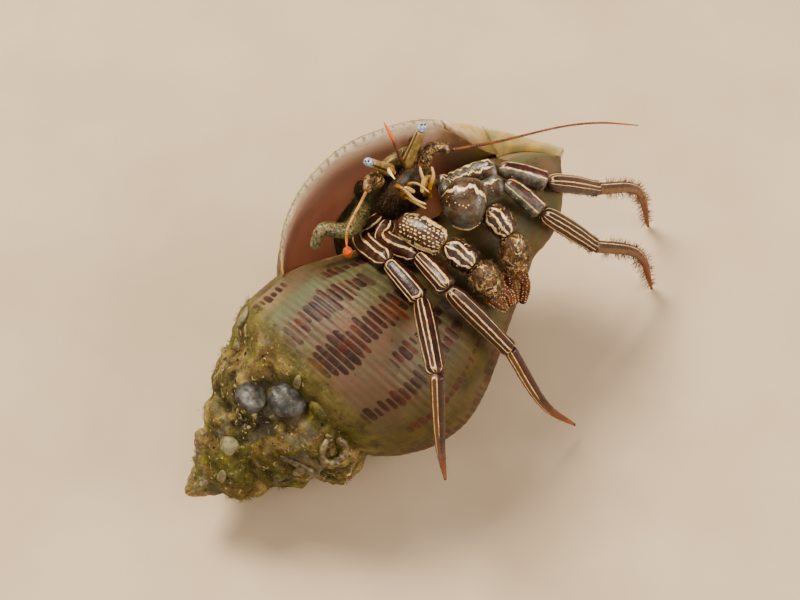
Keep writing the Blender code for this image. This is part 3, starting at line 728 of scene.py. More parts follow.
# ---------------------------------------------------------------- shell material
def shell_paint():
    """Grey-brown whorl with cords of red-brown dashes, algae and growths, a pink inside and a tan canal."""
    p = Paint("sea_shell", roughness=0.45, Specular_IOR_Level=0.32, Subsurface_Weight=0.5,
              Subsurface_Radius=(1.0, 0.86, 0.78), Subsurface_Scale=0.005)
    cord, turn, band, growth, relief, inside, floor, share = p.marks(
        "cord turn band growth relief inside floor share")
    line = cord.floor()

    # the bare whorl: grey brown, with a painted lit patch beside the aperture, green near the shoulder and
    # olive below
    cloud, fine = p.noise(6.0, 4), p.noise(0.9, 4)
    along_cords = p.noise_at(3, cord * 0.9, turn * 0.05)
    ground = p.mix("#5a4c39", "#443b28", cloud.between(0.35, 0.7))
    ground = p.mottle(ground, "#644c3c", 11.0, 2, 0.48, 0.7)
    # painted light: a paler patch beside the aperture, where light falls on the whorl
    ground = p.mix(ground, "#877558", turn.near(2, 16, 0.5) * cord.between(14.0, 9.0) * 0.8)
    mint = (turn.near(24, 5, 0.6) * 0.8).most(turn.near(36, 16, 0.5) * cord.between(14.5, 18) * 0.8)
    ground = p.mix(ground, "#556048", mint * cloud.between(0.22, 0.55))
    between = abs(cord.fraction() - 0.5).between(0.32, 0.5)
    ground = p.mix(ground, "#5d533c", between * 0.12)
    ground = p.mix(ground, "#5d5940", along_cords.between(0.46, 0.68) * 0.6)
    olive = turn.between(78, 114).most(cord.between(16.0, 23.0) * 0.75)
    mossy = p.mottle("#352c0c", "#50441a", 4.0, 4, 0.3, 0.7)
    ground = p.mix(ground, mossy, olive * (0.45 + cloud.between(0.3, 0.65) * 0.5))

    # dashes on the cords: one for each cord and band, rounded, of uneven length and thickness
    def chance(step, seed):
        return p.noise_at(1, line * step, band * 3.7, seed).between(0.28, 0.72)

    off = p.mark("off") - (chance(7.31, 2.0) - 0.5) * p.mark("lean") * 0.5
    along = off / (chance(3.17, 5.0) * 0.6 + 0.46)
    side = (cord.fraction() - 0.5) / (chance(5.71, 9.0) * 0.42 + 0.17)
    along = along * along
    dash = (along * along * along + side * side + (fine - 0.5) * 1.3).between(1.25, 0.8)
    dash = dash * p.mark("striped") * p.noise_at(2, cord * 0.6, turn * 0.04, 4.0).between(0.26, 0.36)
    dash = dash * (1.0 - growth.between(0.3, 0.7))
    red = p.mix("#2c0d07", "#541f10", p.noise_at(2, line * 1.7, turn * 0.08, 9.0).between(0.4, 0.62))
    red = p.mottle(red, "#2e1814", 5.0, 2, 0.45, 0.65)
    red = p.mix(red, "#4a3020", turn.between(78.0, 112.0) * 0.4)
    faint = p.noise_at(3, cord * 0.7, turn * 0.25, 12.0).between(0.3, 0.55)
    ground = p.mix(ground, red, dash * (0.82 + faint * 0.18))

    # specks, growth lines and the algae along the crust's border
    speck = p.cells(1.5).op("LESS_THAN", 0.11) * p.noise(6.0, 2).between(0.5, 0.58)
    ground = p.mix(ground, "#1a150f", speck * 0.85)
    lines = p.noise_at(4, turn * 1.1, cord * 0.05, 3.0)
    ground = p.mix(ground, "#564a30", lines.between(0.56, 0.7) * 0.35)
    verge = growth.between(0.02, 0.25)
    algae = p.mottle("#45401a", "#6e6430", 2.2, 4, 0.35, 0.65)
    ground = p.mix(ground, algae, verge * 0.7)

    # growths on the spire, with painted shade in their hollows and a painted highlight on their highest lumps
    patch, grain = p.noise(3.4, 5, twist=0.6), p.noise(0.55, 5)
    crust = p.mix("#5c4a28", "#86744a", patch.between(0.42, 0.62))
    crust = p.mottle(crust, "#4a5018", 4.6, 4, 0.44, 0.6, 0.6)
    # painted highlight: paler on the highest lumps of the growths
    crust = p.mix(crust, "#a8986c", relief.between(0.75, 1.7) * grain.between(0.4, 0.6))
    # painted shade: nearly black in the hollows of the growths
    crust = p.mix(crust, "#1d160a", relief.between(0.0, -0.8) * 0.9)
    crust = p.mix(crust, "#b8ac8c", p.cells(5.3).op("LESS_THAN", 0.2) * p.noise(2.0, 3).between(0.52, 0.64))
    crust = p.mix(crust, "#2a1f0e", grain.between(0.56, 0.66) * 0.75)
    crust = p.mix(crust, "#150f07", p.cells(1.7).between(0.20, 0.12) * p.noise(3.0, 2).between(0.46, 0.54))
    crust = p.mix(crust, "#b5a67c", p.noise(0.8, 4, twist=0.7).between(0.60, 0.68) * 0.8)
    crust = p.mottle(crust, "#77701c", 1.6, 3, 0.56, 0.66, 0.4)
    crust = p.mix(crust, "#5f5a4c", p.noise(7.0, 2, twist=0.8).between(0.56, 0.66) * 0.6)
    colour = p.mix(ground, crust, growth.between(0.12, 0.6))

    # the inside of the lip: a tan rim, then pale pink, duller in the depth
    pink = p.mix("#ab9488", "#d8b8ae", inside.between(5.0, 18.0))
    pink = p.mix(pink, "#b8988c", inside.between(26.0, 60.0))
    pink = p.mottle(pink, "#cfa49c", 7.0, 3, 0.45, 0.7, 0.5)
    rim = p.mottle("#a08c74", "#bcaa94", 1.4, 3, 0.4, 0.65)
    edge = p.noise(5.0, 2) * 2.2
    pink = p.mix(rim, pink, inside.between(0.4, 3.4 + edge))
    reach = p.noise_at(2, line * 2.7, 0.5, 3.0).between(0.35, 0.75) * 0.8
    gap = abs(cord.fraction() - 0.5).between(0.22, 0.46) * cord.between(25.5, 24.0)
    pink = p.mix(pink, "#3c2212", gap * (inside - reach).between(0.22, -0.1) * 0.85)
    pink = p.mix(pink, "#b07c22", share.between(0.10, 0.0) * 0.9)
    pink = p.mix(pink, "#a08852", cord.between(23.5, 27.5) * 0.9)
    enamel = inside.between(0.0, 0.05)
    callus = p.mottle("#9c7c66", "#5c5a35", 3.0, 4, 0.45, 0.62)
    callus = p.mix(callus, "#20180f", p.cells(1.1).op("LESS_THAN", 0.2) * p.noise(2.5, 2).between(0.5, 0.58))
    pink = p.mix(pink, callus, floor * inside.between(22.0, 6.0))
    # painted shade: darker brown over the lower cords of the whorl towards the canal, away from the lip
    colour = p.mix(colour, "#43351a", cord.between(22.0, 27.0) * turn.between(350.0, 335.0) * 0.7)
    canal = p.mottle("#b09458", "#8f8458", 2.2, 3, 0.4, 0.62)
    colour = p.mix(colour, canal, cord.between(26.0, 27.5) * turn.between(335.0, 350.0) * 0.9)
    colour = p.mix(colour, pink, enamel)

    # front of the columella: dark tan and olive, stained brown
    front = cord.between(23.5, 26.5) * (1.0 - enamel) * turn.between(150.0, 120.0)
    dome = p.mottle("#5c4a2c", "#464a30", 4.0, 3, 0.4, 0.62)
    dome = p.mottle(dome, "#5c3a16", 3.0, 3, 0.52, 0.66, 0.8)
    colour = p.mix(colour, dome, front * 0.8)

    ridges = abs(cord.fraction() - 0.5).between(0.5, 0.15) * (1.0 - growth)
    height = ridges * 0.07 + fine * 0.35 + lines * 0.3 + growth * (patch * 2.0 + grain * 3.0)
    height = height * (1.0 - enamel * 0.85)
    roughness = growth * 0.3 + 0.42 - enamel * 0.12 + fine * 0.1
    return p.finish(colour, height, 0.22, roughness)


def shell():
    points, faces, marks = ShellMesh().build()
    nodes = ("shell_spire", "shell_body_whorl", "shell_outer_lip", "shell_canal")
    made = new_piece("snail_shell", points, faces, shell_paint(), marks, nodes=nodes, slot="shell")
    face_outwards(made)


# ---------------------------------------------------------------- limb form
def unit(vectors):
    return vectors / np.maximum(np.linalg.norm(vectors, axis=-1, keepdims=True), 1e-9)


class Limb:
    """A limb piece: rings along a smooth path, wide across it and flatter towards the side it faces.

    turn runs from 0 to 1 round a ring, with 0.25 on the side that is faced and 0 and 0.5 on the edges.
    """

    def __init__(self, path, widths, flatness=1.0, facing=FACING, start=0.0, end=0.0, depths=None,
                 blunt=(0.4, 0.4), sides=40, step=0.16):
        curve = spline([tuple(p) for p in path], 80)
        length = np.r_[0.0, np.cumsum(np.linalg.norm(np.diff(curve, axis=0), axis=1))]
        total, span = length[-1], length[-1] - start - end
        self.rings, self.sides = int(np.clip(span / step, 26, 150)), sides
        even = np.linspace(0.0, 1.0, self.rings)
        # the rings stand closer together towards both ends
        self.share = 0.55 * even + 0.45 * (0.5 - 0.5 * np.cos(np.pi * even))
        at = start + self.share * span
        self.centre = np.stack([np.interp(at, length, curve[:, i]) for i in range(3)], axis=1)
        self.ahead = unit(np.gradient(self.centre, axis=0))
        self.side = unit(np.cross(np.array(facing, float), self.ahead))
        self.deep = np.cross(self.ahead, self.side)
        self.span = span
        self.width = self.spread(widths, at / total)
        self.depth = self.spread(depths, at / total) if depths else self.width * flatness
        from_start, to_end = self.share * span, (1.0 - self.share) * span
        for gone, reach in ((from_start, blunt[0]), (to_end, blunt[1])):
            inside = np.clip(gone / np.maximum(reach * self.width, 1e-6), 0.0, 1.0)
            close = np.sqrt(np.clip(1.0 - (1.0 - inside) ** 2, 0.02, 1.0))
            self.width, self.depth = self.width * close, self.depth * close
        self.grow = np.ones((self.rings, sides))

    @staticmethod
    def spread(values, at):
        curve = spline([(float(i), v) for i, v in enumerate(values)], 60)
        return np.interp(at * (len(values) - 1), curve[:, 0], curve[:, 1])

    def ring_turns(self):
        return np.arange(self.sides) / self.sides

    def surface(self, share, turn):
        """(point, outward direction, direction along) at a place on the limb."""
        i = int(np.clip(np.searchsorted(self.share, share), 1, self.rings - 1))
        f = (share - self.share[i - 1]) / (self.share[i] - self.share[i - 1])

        def pick(values):
            return values[i - 1] * (1 - f) + values[i] * f

        c, s = math.cos(TURN * turn), math.sin(TURN * turn)
        half_w, half_d = 0.5 * pick(self.width), 0.5 * pick(self.depth)
        side, deep, ahead = pick(self.side), pick(self.deep), pick(self.ahead)
        grow = pick(self.grow)[int(turn * self.sides) % self.sides]
        point = pick(self.centre) + (side * c * half_w + deep * s * half_d) * grow
        out = side * c * half_d + deep * s * half_w
        return point, out / (np.linalg.norm(out) + 1e-9), ahead

    def points(self):
        turns = TURN * self.ring_turns()
        across = np.cos(turns)[None, :, None] * self.side[:, None, :] * self.width[:, None, None]
        deep = np.sin(turns)[None, :, None] * self.deep[:, None, :] * self.depth[:, None, None]
        return self.centre[:, None, :] + 0.5 * (across + deep) * self.grow[:, :, None]

    def shape(self, scale):
        """Multiplies the surface's distance from the middle by scale(share, turn), as a grid."""
        self.grow = self.grow * scale(self.share[:, None], self.ring_turns()[None, :])

    def roughen(self, size, height, seed=3):
        """Moves the surface in and out by height millimetres of noise."""
        noise = lumps(self.points(), size, 3, seed) * height
        self.grow = self.grow + noise / np.maximum(0.5 * self.width[:, None], 0.3)
        return self

    def grid(self):
        """(points, faces, marks) of the closed surface."""
        grid = self.points()
        points = np.vstack([grid.reshape(-1, 3), self.centre[:1], self.centre[-1:]])
        faces = tube_faces(self.rings, self.sides)
        low = self.rings * self.sides
        high, last = low + 1, low - self.sides
        for j in range(self.sides):
            k = (j + 1) % self.sides
            faces.append([k, j, low])
            faces.append([last + j, last + k, high])
        turns = TURN * self.ring_turns()
        share = np.repeat(self.share, self.sides)
        marks = dict(along=np.r_[share, 0, 1], start=np.r_[share * self.span, 0, self.span],
                     end=np.r_[self.span - share * self.span, self.span, 0],
                     across=np.r_[np.tile(np.cos(turns), self.rings), 0, 0],
                     faced=np.r_[np.tile(np.sin(turns), self.rings), 0, 0])
        return points, faces, marks

    def piece(self, name, paint, nodes=(), slot=None):
        points, faces, marks = self.grid()
        face_outwards(new_piece(name, points, faces, paint, marks, nodes=nodes, slot=slot))

    def stand_for(self, node, paint, slot):
        """The piece that replaces one solid."""
        self.piece(f"{node}_shell", paint, nodes=(node,), slot=slot)


def bow(a, b, rise, share=0.5):
    """A path from a to b through a point raised off the chord."""
    a, b = Vector(a), Vector(b)
    return [a, a.lerp(b, share) + Vector(rise), b]


def bend_room(before, after, width):
    """How far a piece stops short of a bent joint."""
    into = (Vector(before[-1]) - Vector(before[-2])).normalized()
    out = (Vector(after[1]) - Vector(after[0])).normalized()
    return 0.6 * (0.03 + 0.16 * width * math.tan(0.5 * into.angle(out)))


class Bristles:
    """Tapered bristles, as solid mesh, for one coat piece. Each limb has its own cell of the OFBake map."""
    BEND, SPREAD = 0.42, 0.0015     # how far a tip leans over, and a bristle's size on the map

    def __init__(self, seed, cells=1):
        self.heap, self.random, self.cells, self.cell = Heap(), np.random.default_rng(seed), cells, 0

    def hair(self, root, out, way, length, thick, patch, tone):
        aside = unit(np.cross(out, way) + 1e-6)
        other = np.cross(out, aside)
        rings = []
        for share, size in ((-0.06, 1.0), (0.5, 0.75)):
            centre = root + out * length * share * 0.95 + way * length * self.BEND * share ** 2
            for k in range(3):
                turn = TURN * k / 3
                rings.append(centre + (aside * math.cos(turn) + other * math.sin(turn)) * thick * size * 0.5)
        tip = root + out * length * 0.92 + way * length * self.BEND
        faces = [(k, (k + 1) % 3, 3 + (k + 1) % 3, 3 + k) for k in range(3)]
        faces += [(3 + k, 3 + (k + 1) % 3, 6) for k in range(3)] + [(2, 1, 0)]
        spread = np.array([(math.cos(k * 2.1), math.sin(k * 2.1)) for k in range(7)]) * self.SPREAD
        self.heap.add(rings + [tip], faces, patch=np.array(patch) + spread, tone=tone,
                      tip=np.array([0, 0, 0, .5, .5, .5, 1.0]))

    def on(self, limb, count, length, thick, turns=(0.0, 1.0), shares=(0.05, 0.95), lean=0.5,
           ragged=0.35):
        """count bristles on a limb between two turns and two shares of its length, leaning to its end."""
        draw = self.random
        for _ in range(count):
            share = shares[0] + (shares[1] - shares[0]) * draw.random()
            turn = (turns[0] + (turns[1] - turns[0]) * draw.random()) % 1.0
            root, out, way = limb.surface(share, turn)
            jitter = draw.normal(size=(2, 3)) * ragged
            out = unit(out + way * lean * 0.6 + jitter[0] * 0.5)
            way = unit(way * lean + jitter[1])
            size = length * (0.55 + 0.6 * draw.random())
            place_on_map = ((self.cell + 0.02 + 0.96 * share) / self.cells, 0.01 + 0.98 * turn)
            self.hair(root, out, way, size, thick * (0.8 + 0.4 * draw.random()), place_on_map, draw.random())
        return self

    def next_limb(self):
        self.cell += 1

    def piece(self, name, paint, slot):
        self.heap.piece(name, paint, slot=slot)


def dome(sides):
    """A unit dome that stands on z = 0, sunk a little below it."""
    points, faces = [], []
    for height, radius in ((-0.3, 1.0), (0.45, 0.85), (0.85, 0.45)):
        for k in range(sides):
            points.append((radius * math.cos(TURN * k / sides), radius * math.sin(TURN * k / sides), height))
    points.append((0.0, 0.0, 1.0))
    for ring in range(2):
        for k in range(sides):
            a, b = ring * sides + k, ring * sides + (k + 1) % sides
            faces.append((a, b, b + sides, a + sides))
    faces += [(2 * sides + k, 2 * sides + (k + 1) % sides, 3 * sides) for k in range(sides)]
    faces.append(tuple(reversed(range(sides))))
    return np.array(points), faces


DOME = dome(7)


def tubercle(heap, root, out, way, size, height):
    """Adds a small dome that stands on a surface, size across and height tall."""
    aside = unit(np.cross(out, way))
    axes = np.stack([aside * size * 0.5, np.cross(out, aside) * size * 0.5, out * height])
    heap.add(DOME[0] @ axes + root, DOME[1])


def ball(heap, centre, radii, axes=np.eye(3), sides=14, rings=9):
    """Adds a closed ellipsoid."""
    axes = np.array(axes, float)
    points = [(0.0, 0.0, 1.0)]
    for i in range(1, rings):
        tilt = math.pi * i / rings
        for k in range(sides):
            turn = TURN * k / sides
            points.append((math.sin(tilt) * math.cos(turn), math.sin(tilt) * math.sin(turn), math.cos(tilt)))
    points.append((0.0, 0.0, -1.0))
    faces = [(0, 1 + k, 1 + (k + 1) % sides) for k in range(sides)]
    for i in range(rings - 2):
        for k in range(sides):
            a, b = 1 + i * sides + k, 1 + i * sides + (k + 1) % sides
            faces.append((a, a + sides, b + sides, b))
    last, first = len(points) - 1, 1 + (rings - 2) * sides
    faces += [(last, first + (k + 1) % sides, first + k) for k in range(sides)]
    heap.add((np.array(points) * np.array(radii)) @ axes + np.array(centre), faces)


# ---------------------------------------------------------------- limb materials
# A pale line along a limb: its place across, its width and waviness, the share of the limb where it
# ends (past 1 for one that doesn't) and how uneven its width is.
Stripe = namedtuple("Stripe", "across width wave last ragged", defaults=(1.1, 0.25))
STRIPE_WIDTH = 0.78             # scales the widths of all stripes


def stripe_mask(p, stripes):
    """1 on the stripes, whose edges wander with noise along the limb."""
    across, along, start = p.marks("across along start")

    def mask(i, stripe):
        sway = p.wander(2, start * 0.9, 3.7 * i, 0.5) * (stripe.wave * 4.0)
        swell = p.wander(2, start * 1.6, 3.7 * i, 7.5) * (stripe.ragged * 4.0) + 1.0
        off = abs(across - sway - stripe.across) / (swell * (STRIPE_WIDTH * stripe.width))
        line = off.between(1.25, 0.75)
        if stripe.last < 1.0:
            line = line * along.between(stripe.last + 0.05, stripe.last - 0.05)
        return line

    return greatest(mask(i, Stripe(*numbers)) for i, numbers in enumerate(stripes))


def leg_paint(name, stripes, joined=(), pale="#c6a97c", dark="#1f0d07", red="#3c180d"):
    """Dark red-brown with cream lines. joined are (first, last) places across between which lines
    meet in an arch near each end of the piece."""
    p = Paint(name, roughness=0.35, Coat_Weight=0.12, Coat_Roughness=0.2)
    across, start, end = p.marks("across start end")
    mask = stripe_mask(p, stripes)
    for first, last in joined:
        middle, half = 0.5 * (first + last), 0.5 * abs(last - first)
        curve = abs(across - middle) / half
        reach = curve.between(1.15, 0.95)
        for edge in (start, end):
            arch = abs(edge - 0.42 - curve * curve * 0.5).between(0.19, 0.10)
            mask = mask.most(arch * reach)
    ground = p.mottle(dark, red, 1.1, 4, 0.38, 0.66)
    ground = p.mottle(ground, "#15080a", 0.5, 3, 0.56, 0.7, 0.7)
    line = p.mottle(pale, "#b48a58", 0.8, 3, 0.45, 0.68)
    line = p.mottle(line, "#efe0c2", 0.5, 2, 0.55, 0.72, 0.6)
    colour = p.mix(ground, line, mask)
    rim = start.between(0.32, 0.05).most(end.between(0.32, 0.05))
    colour = p.mix(colour, "#3c2412", rim * 0.7)
    pores = p.cells(0.42).between(0.10, 0.22)
    height = mask * 0.5 + p.noise(0.35, 4) * 0.6 + pores * 0.25
    return p.finish(colour, height, 0.10, p.noise(0.6, 3) * 0.3 + 0.22)


def dactyl_paint(name, stripes, orange_from):
    """Dark red with cream lines that end part of the way, orange-brown towards a black tip."""
    p = Paint(name, roughness=0.35, Coat_Weight=0.25, Coat_Roughness=0.2)
    along, end, across = p.marks("along end across")
    mask = stripe_mask(p, stripes)
    cloud = p.noise(0.9, 4)
    ground = p.mix("#210a08", "#3c150b", cloud.between(0.4, 0.65))
    between = across.between(0.0, -0.25)
    ground = p.mix(ground, "#6a4520", between * 0.7)
    wear = along + (cloud - 0.5) * 0.3
    ground = p.mix(ground, "#6e320e", wear.between(orange_from, orange_from + 0.35) * 0.85)
    ground = p.mix(ground, "#94541e", wear.between(0.84, 0.98) * 0.6)
    colour = p.mix(ground, p.mottle("#dcbc8c", "#b98a55", 0.8, 2, 0.45, 0.65), mask)
    colour = p.mix(colour, "#120a07", end.between(0.75, 0.45))
    height = mask * 0.4 + p.noise(0.3, 4) * 0.7
    return p.finish(colour, height, 0.09, p.noise(0.6, 3) * 0.25 + 0.25)


def slate_paint(name, brown, seed, zigzags, dots):
    """Grey-brown with a darker brown patch, cream dots and cream zigzag lines. brown is the patch's
    (low, high) across and (first, last) along, and zigzags are places across."""
    p = Paint(name, roughness=0.34, Coat_Weight=0.25, Coat_Roughness=0.16)
    across, along, start, end = p.marks("across along start end")
    cloud = p.noise(1.6, 4)
    ground = p.mix("#352d20", "#625f54", cloud.between(0.34, 0.66))
    ground = p.mottle(ground, "#3e2c14", 2.4, 3, 0.46, 0.62, 0.8)
    ground = p.mix(ground, "#7d8480", (across + cloud * 0.6).between(-0.45, -0.75) * 0.5)
    (low, high), (first, last) = brown
    wobble = p.wander(3, start * 0.7, across * 1.6, seed) * 0.9
    place_across = across + wobble
    patch = place_across.between(low - 0.12, low + 0.05) * place_across.between(high + 0.12, high - 0.05)
    patch = patch * along.between(first - 0.08, first + 0.06) * along.between(last + 0.06, last - 0.08)
    tan = p.mottle("#2a180a", "#523414", 0.8, 4, 0.4, 0.62)
    ground = p.mix(ground, tan, patch * 0.9)
    spots = p.cells(0.55, spread=0.8).between(0.24, 0.15) * p.noise(1.1, 2).between(0.46, 0.54)
    ground = p.mix(ground, "#d6bc8e", spots * patch * dots)
    for i, at in enumerate(zigzags):
        sway = p.wander(3, start * 0.9, seed + 2.3 * i, 4.0) * 1.1
        swell = p.noise_at(2, start * 1.7, seed + 2.3 * i, 1.0) * 0.22
        off = abs(across - at - sway)
        line = (off - (swell - 0.04)).between(0.035, -0.025)
        edge = (off - (swell + 0.03)).between(0.06, -0.02)
        ground = p.mix(ground, "#3a2012", edge * 0.85)
        ground = p.mix(ground, p.mottle("#d6c09a", "#a98f68", 1.0, 3, 0.45, 0.66), line)
    ground = p.mix(ground, "#4c463c", end.between(0.9, 0.4) * 0.7)
    ground = p.mix(ground, "#2c190c", end.between(0.30, 0.12) * 0.9)
    height = p.noise(0.35, 4) * 0.8 + p.cells(0.5).between(0.1, 0.3) * 0.3
    return p.finish(ground, height, 0.10, p.noise(0.8, 3) * 0.25 + 0.20)


def outlined_paint(name, lines, dark):
    """A claw's carpus: nearly black brown, with cream lines that bend towards each other at the ends."""
    p = Paint(name, roughness=0.35, Coat_Weight=0.25, Coat_Roughness=0.2)
    across, along, start, end = p.marks("across along start end")
    ground = p.mottle(dark, "#4a2814", 0.9, 4, 0.42, 0.66)
    squeeze = 1.0 - abs(along - 0.5).between(0.18, 0.52) * 0.45

    def mask(i, line):
        sway = p.wander(2, start * 0.8, 4.1 * i, 0.7) * 0.55
        swell = p.noise_at(2, start * 1.9, 4.1 * i, 5.0) * 0.20
        off = abs(across - squeeze * line - sway)
        return (off - (swell - 0.02)).between(0.05, -0.03)

    total = greatest(mask(i, line) for i, line in enumerate(lines))
    ring = abs(p.cells(1.05, spread=0.9) - 0.36).between(0.08, 0.04)
    total = total.most(ring * p.noise(1.3, 2).between(0.5, 0.58))
    cream = p.mottle("#c9a874", "#ead7b0", 0.8, 3, 0.4, 0.65)
    ground = p.mix(ground, cream, total * 0.95)
    ground = p.mix(ground, "#8a6a3e", end.between(0.3, 0.1).most(start.between(0.25, 0.08)) * 0.6)
    return p.finish(ground, total * 0.5 + p.noise(0.4, 4) * 0.6, 0.12, p.noise(0.7, 3) * 0.25 + 0.25)


def spotted_paint(name):
    """The right claw's merus: dark brown with rows of cream spots and a broken cream line on each edge."""
    p = Paint(name, roughness=0.35, Coat_Weight=0.25, Coat_Roughness=0.2)
    across, along, start, end = p.marks("across along start end")
    ground = p.mottle("#2e1a0d", "#54371b", 1.2, 4, 0.4, 0.65)

    def mask(i, row):
        off = (across - row - p.wander(3, start * 0.9, 3.3 * i, 1.0) * 0.4) / 0.062
        sway = p.wander(2, start * 0.7, 2.9 * i, 9.0) * 1.6
        step = ((start / 0.66 + sway + 0.37 * i).fraction() - 0.5) / 0.34
        reach = off * off + step * step
        return reach.between(1.3, 0.6) * p.noise_at(1, start * 1.3, 2.1 * i, 6.0).between(0.36, 0.44)

    total = greatest(mask(i, row) for i, row in enumerate((-0.6, -0.36, -0.12, 0.12, 0.36, 0.6)))
    total = total * along.between(0.12, 0.2)
    for edge, width in ((0.86, 0.16), (-0.9, 0.10)):
        wave = p.wander(3, start * 1.5, edge * 5.0, 3.0) * 0.5
        part = abs(across - edge - wave).between(width, width * 0.55)
        total = total.most(part * p.noise_at(2, start * 1.1, edge, 8.0).between(0.38, 0.46))
    cream = p.mottle("#bf9f6c", "#e6d0a6", 0.7, 3, 0.4, 0.65)
    ground = p.mix(ground, cream, total * 0.95)
    ground = p.mix(ground, "#8a6a3e", end.between(0.3, 0.1) * 0.6)
    return p.finish(ground, total * 0.6 + p.noise(0.4, 4) * 0.6, 0.12, p.noise(0.7, 3) * 0.25 + 0.25)


def bristly_paint(name, orange):
    """A claw's palm: brown, with cream veins and blotches, redder towards the fingers."""
    p = Paint(name, roughness=0.45, Coat_Weight=0.15, Coat_Roughness=0.25)
    along = p.mark("along")
    ground = p.mottle("#2f1a0b", "#6d4a20", 1.0, 5, 0.38, 0.64)
    ground = p.mix(ground, "#8a3a12", along.between(0.30, 0.6) * orange)
    fingers = p.mottle("#381004", "#672a09", 0.9, 4, 0.38, 0.64)
    ground = p.mix(ground, fingers, along.between(0.5, 0.64))
    ground = p.mix(ground, "#1a0d08", p.mark("end").between(0.5, 0.25))
    veins = abs(p.noise(1.7, 3, twist=1.2) - 0.5).between(0.045, 0.015)
    veins = veins * p.noise(1.4, 2).between(0.42, 0.5)
    blotch = p.cells(1.2, spread=0.9).between(0.26, 0.16) * p.noise(2.0, 2).between(0.5, 0.56)
    ground = p.mix(ground, "#d8bc8a", veins.most(blotch) * along.between(0.6, 0.5) * 0.9)
    return p.finish(ground, veins * 0.5 + p.noise(0.4, 4) * 0.8, 0.14, p.noise(0.7, 3) * 0.25 + 0.32)


def marbled_paint(name, dark, mid, pale, size, share):
    """Dark, with pale rings, spots and veins. share of the cells are spots and the others are rings."""
    p = Paint(name, roughness=0.4, Coat_Weight=0.2, Coat_Roughness=0.25)
    end, start = p.marks("end start")
    ground = p.mottle(dark, mid, 1.0 * size, 4, 0.4, 0.62)
    cell = p.cells(0.95 * size, spread=0.85)
    spot = cell.between(0.30, 0.20)
    ring = abs(cell - 0.34).between(0.07, 0.03)
    pick = p.cells(0.95 * size, spread=0.85, output="Color")
    chosen = pick.between(0.62 - 0.4 * share, 0.66 - 0.4 * share)
    ground = p.mix(ground, pale, spot * chosen)
    ground = p.mix(ground, pale, ring * (1.0 - chosen) * 0.55)
    veins = abs(p.noise(1.9 * size, 3, twist=1.2) - 0.5).between(0.035, 0.012)
    ground = p.mix(ground, p.mix(pale, "#a47a48", p.noise(1.0, 2)), veins * 0.85)
    rim = end.between(0.3, 0.1).most(start.between(0.25, 0.08))
    ground = p.mix(ground, "#9a7446", rim * 0.5)
    height = (spot + ring * 0.5) * 0.7 + p.noise(0.4, 4) * 0.6
    return p.finish(ground, height, 0.12, p.noise(0.7, 3) * 0.25 + 0.27)


def finger_paint():
    """Orange-red claw fingers with a dark groove, paler at the edges, and dark horny tips."""
    p = Paint("claw_finger", roughness=0.35, Coat_Weight=0.3, Coat_Roughness=0.18)
    end, across = p.marks("end across")
    ground = p.mottle("#381004", "#672a09", 0.9, 4, 0.38, 0.64)
    ground = p.mix(ground, "#2c0a05", abs(across - 0.1).between(0.28, 0.14) * 0.8)
    ground = p.mix(ground, "#c98436", abs(across).between(0.7, 1.0) * 0.6)
    ground = p.mix(ground, "#1a0d08", end.between(0.5, 0.25))
    return p.finish(ground, p.noise(0.35, 4), 0.1)


def plain_paint(name, a, b, size, roughness, tip=None, coat=0.1, fade=None):
    """Two mottled colours, with another at the tip, which fades in between two shares of the length."""
    p = Paint(name, roughness=roughness, Coat_Weight=coat)
    colour = p.mottle(a, b, size, 4, 0.38, 0.64)
    if tip:
        colour = p.mix(colour, tip, p.mark("along").between(*fade))
    return p.finish(colour, p.noise(size * 0.4, 4), 0.08)


def bristle_paint(name, root, tip, pale):
    p = Paint(name, roughness=0.5, Sheen_Weight=0.15)
    colour = p.mix(root, tip, p.mark("tip").between(0.1, 0.9))
    return p.finish(p.mix(colour, pale, p.mark("tone").between(0.78, 0.98) * 0.6))


# ---------------------------------------------------------------- growths on the shell
def on_shell(mesh, x, degrees):
    """(point, outward direction, direction along the shell) on the shell's outside."""
    angle = math.radians(degrees)
    row, later = (mesh.outer_row(turned)[0] for turned in (angle, angle + 0.03))
    point, ahead, around = (np.array([np.interp(at, part[:, 0], part[:, i]) for i in range(3)])
                            for part, at in ((row, x), (row, x + 0.8), (later, x)))
    point, ahead, around = stand(point), stand(ahead), stand(around)
    way = unit(ahead - point)
    out = unit(np.cross(around - point, ahead - point))
    if out @ (point - stand([x, 0.0, 0.0])) < 0.0:
        out = -out
    return point, out, way


def growth_paint(name, a, b, spots, size, coat, roughness):
    p = Paint(name, roughness=roughness, Coat_Weight=coat, Coat_Roughness=0.15)
    colour = p.mottle(a, b, size, 5, 0.36, 0.64)
    colour = p.mottle(colour, spots, size * 0.45, 4, 0.56, 0.68, 0.8)
    return p.finish(colour, p.noise(size * 0.4, 4), 0.12)


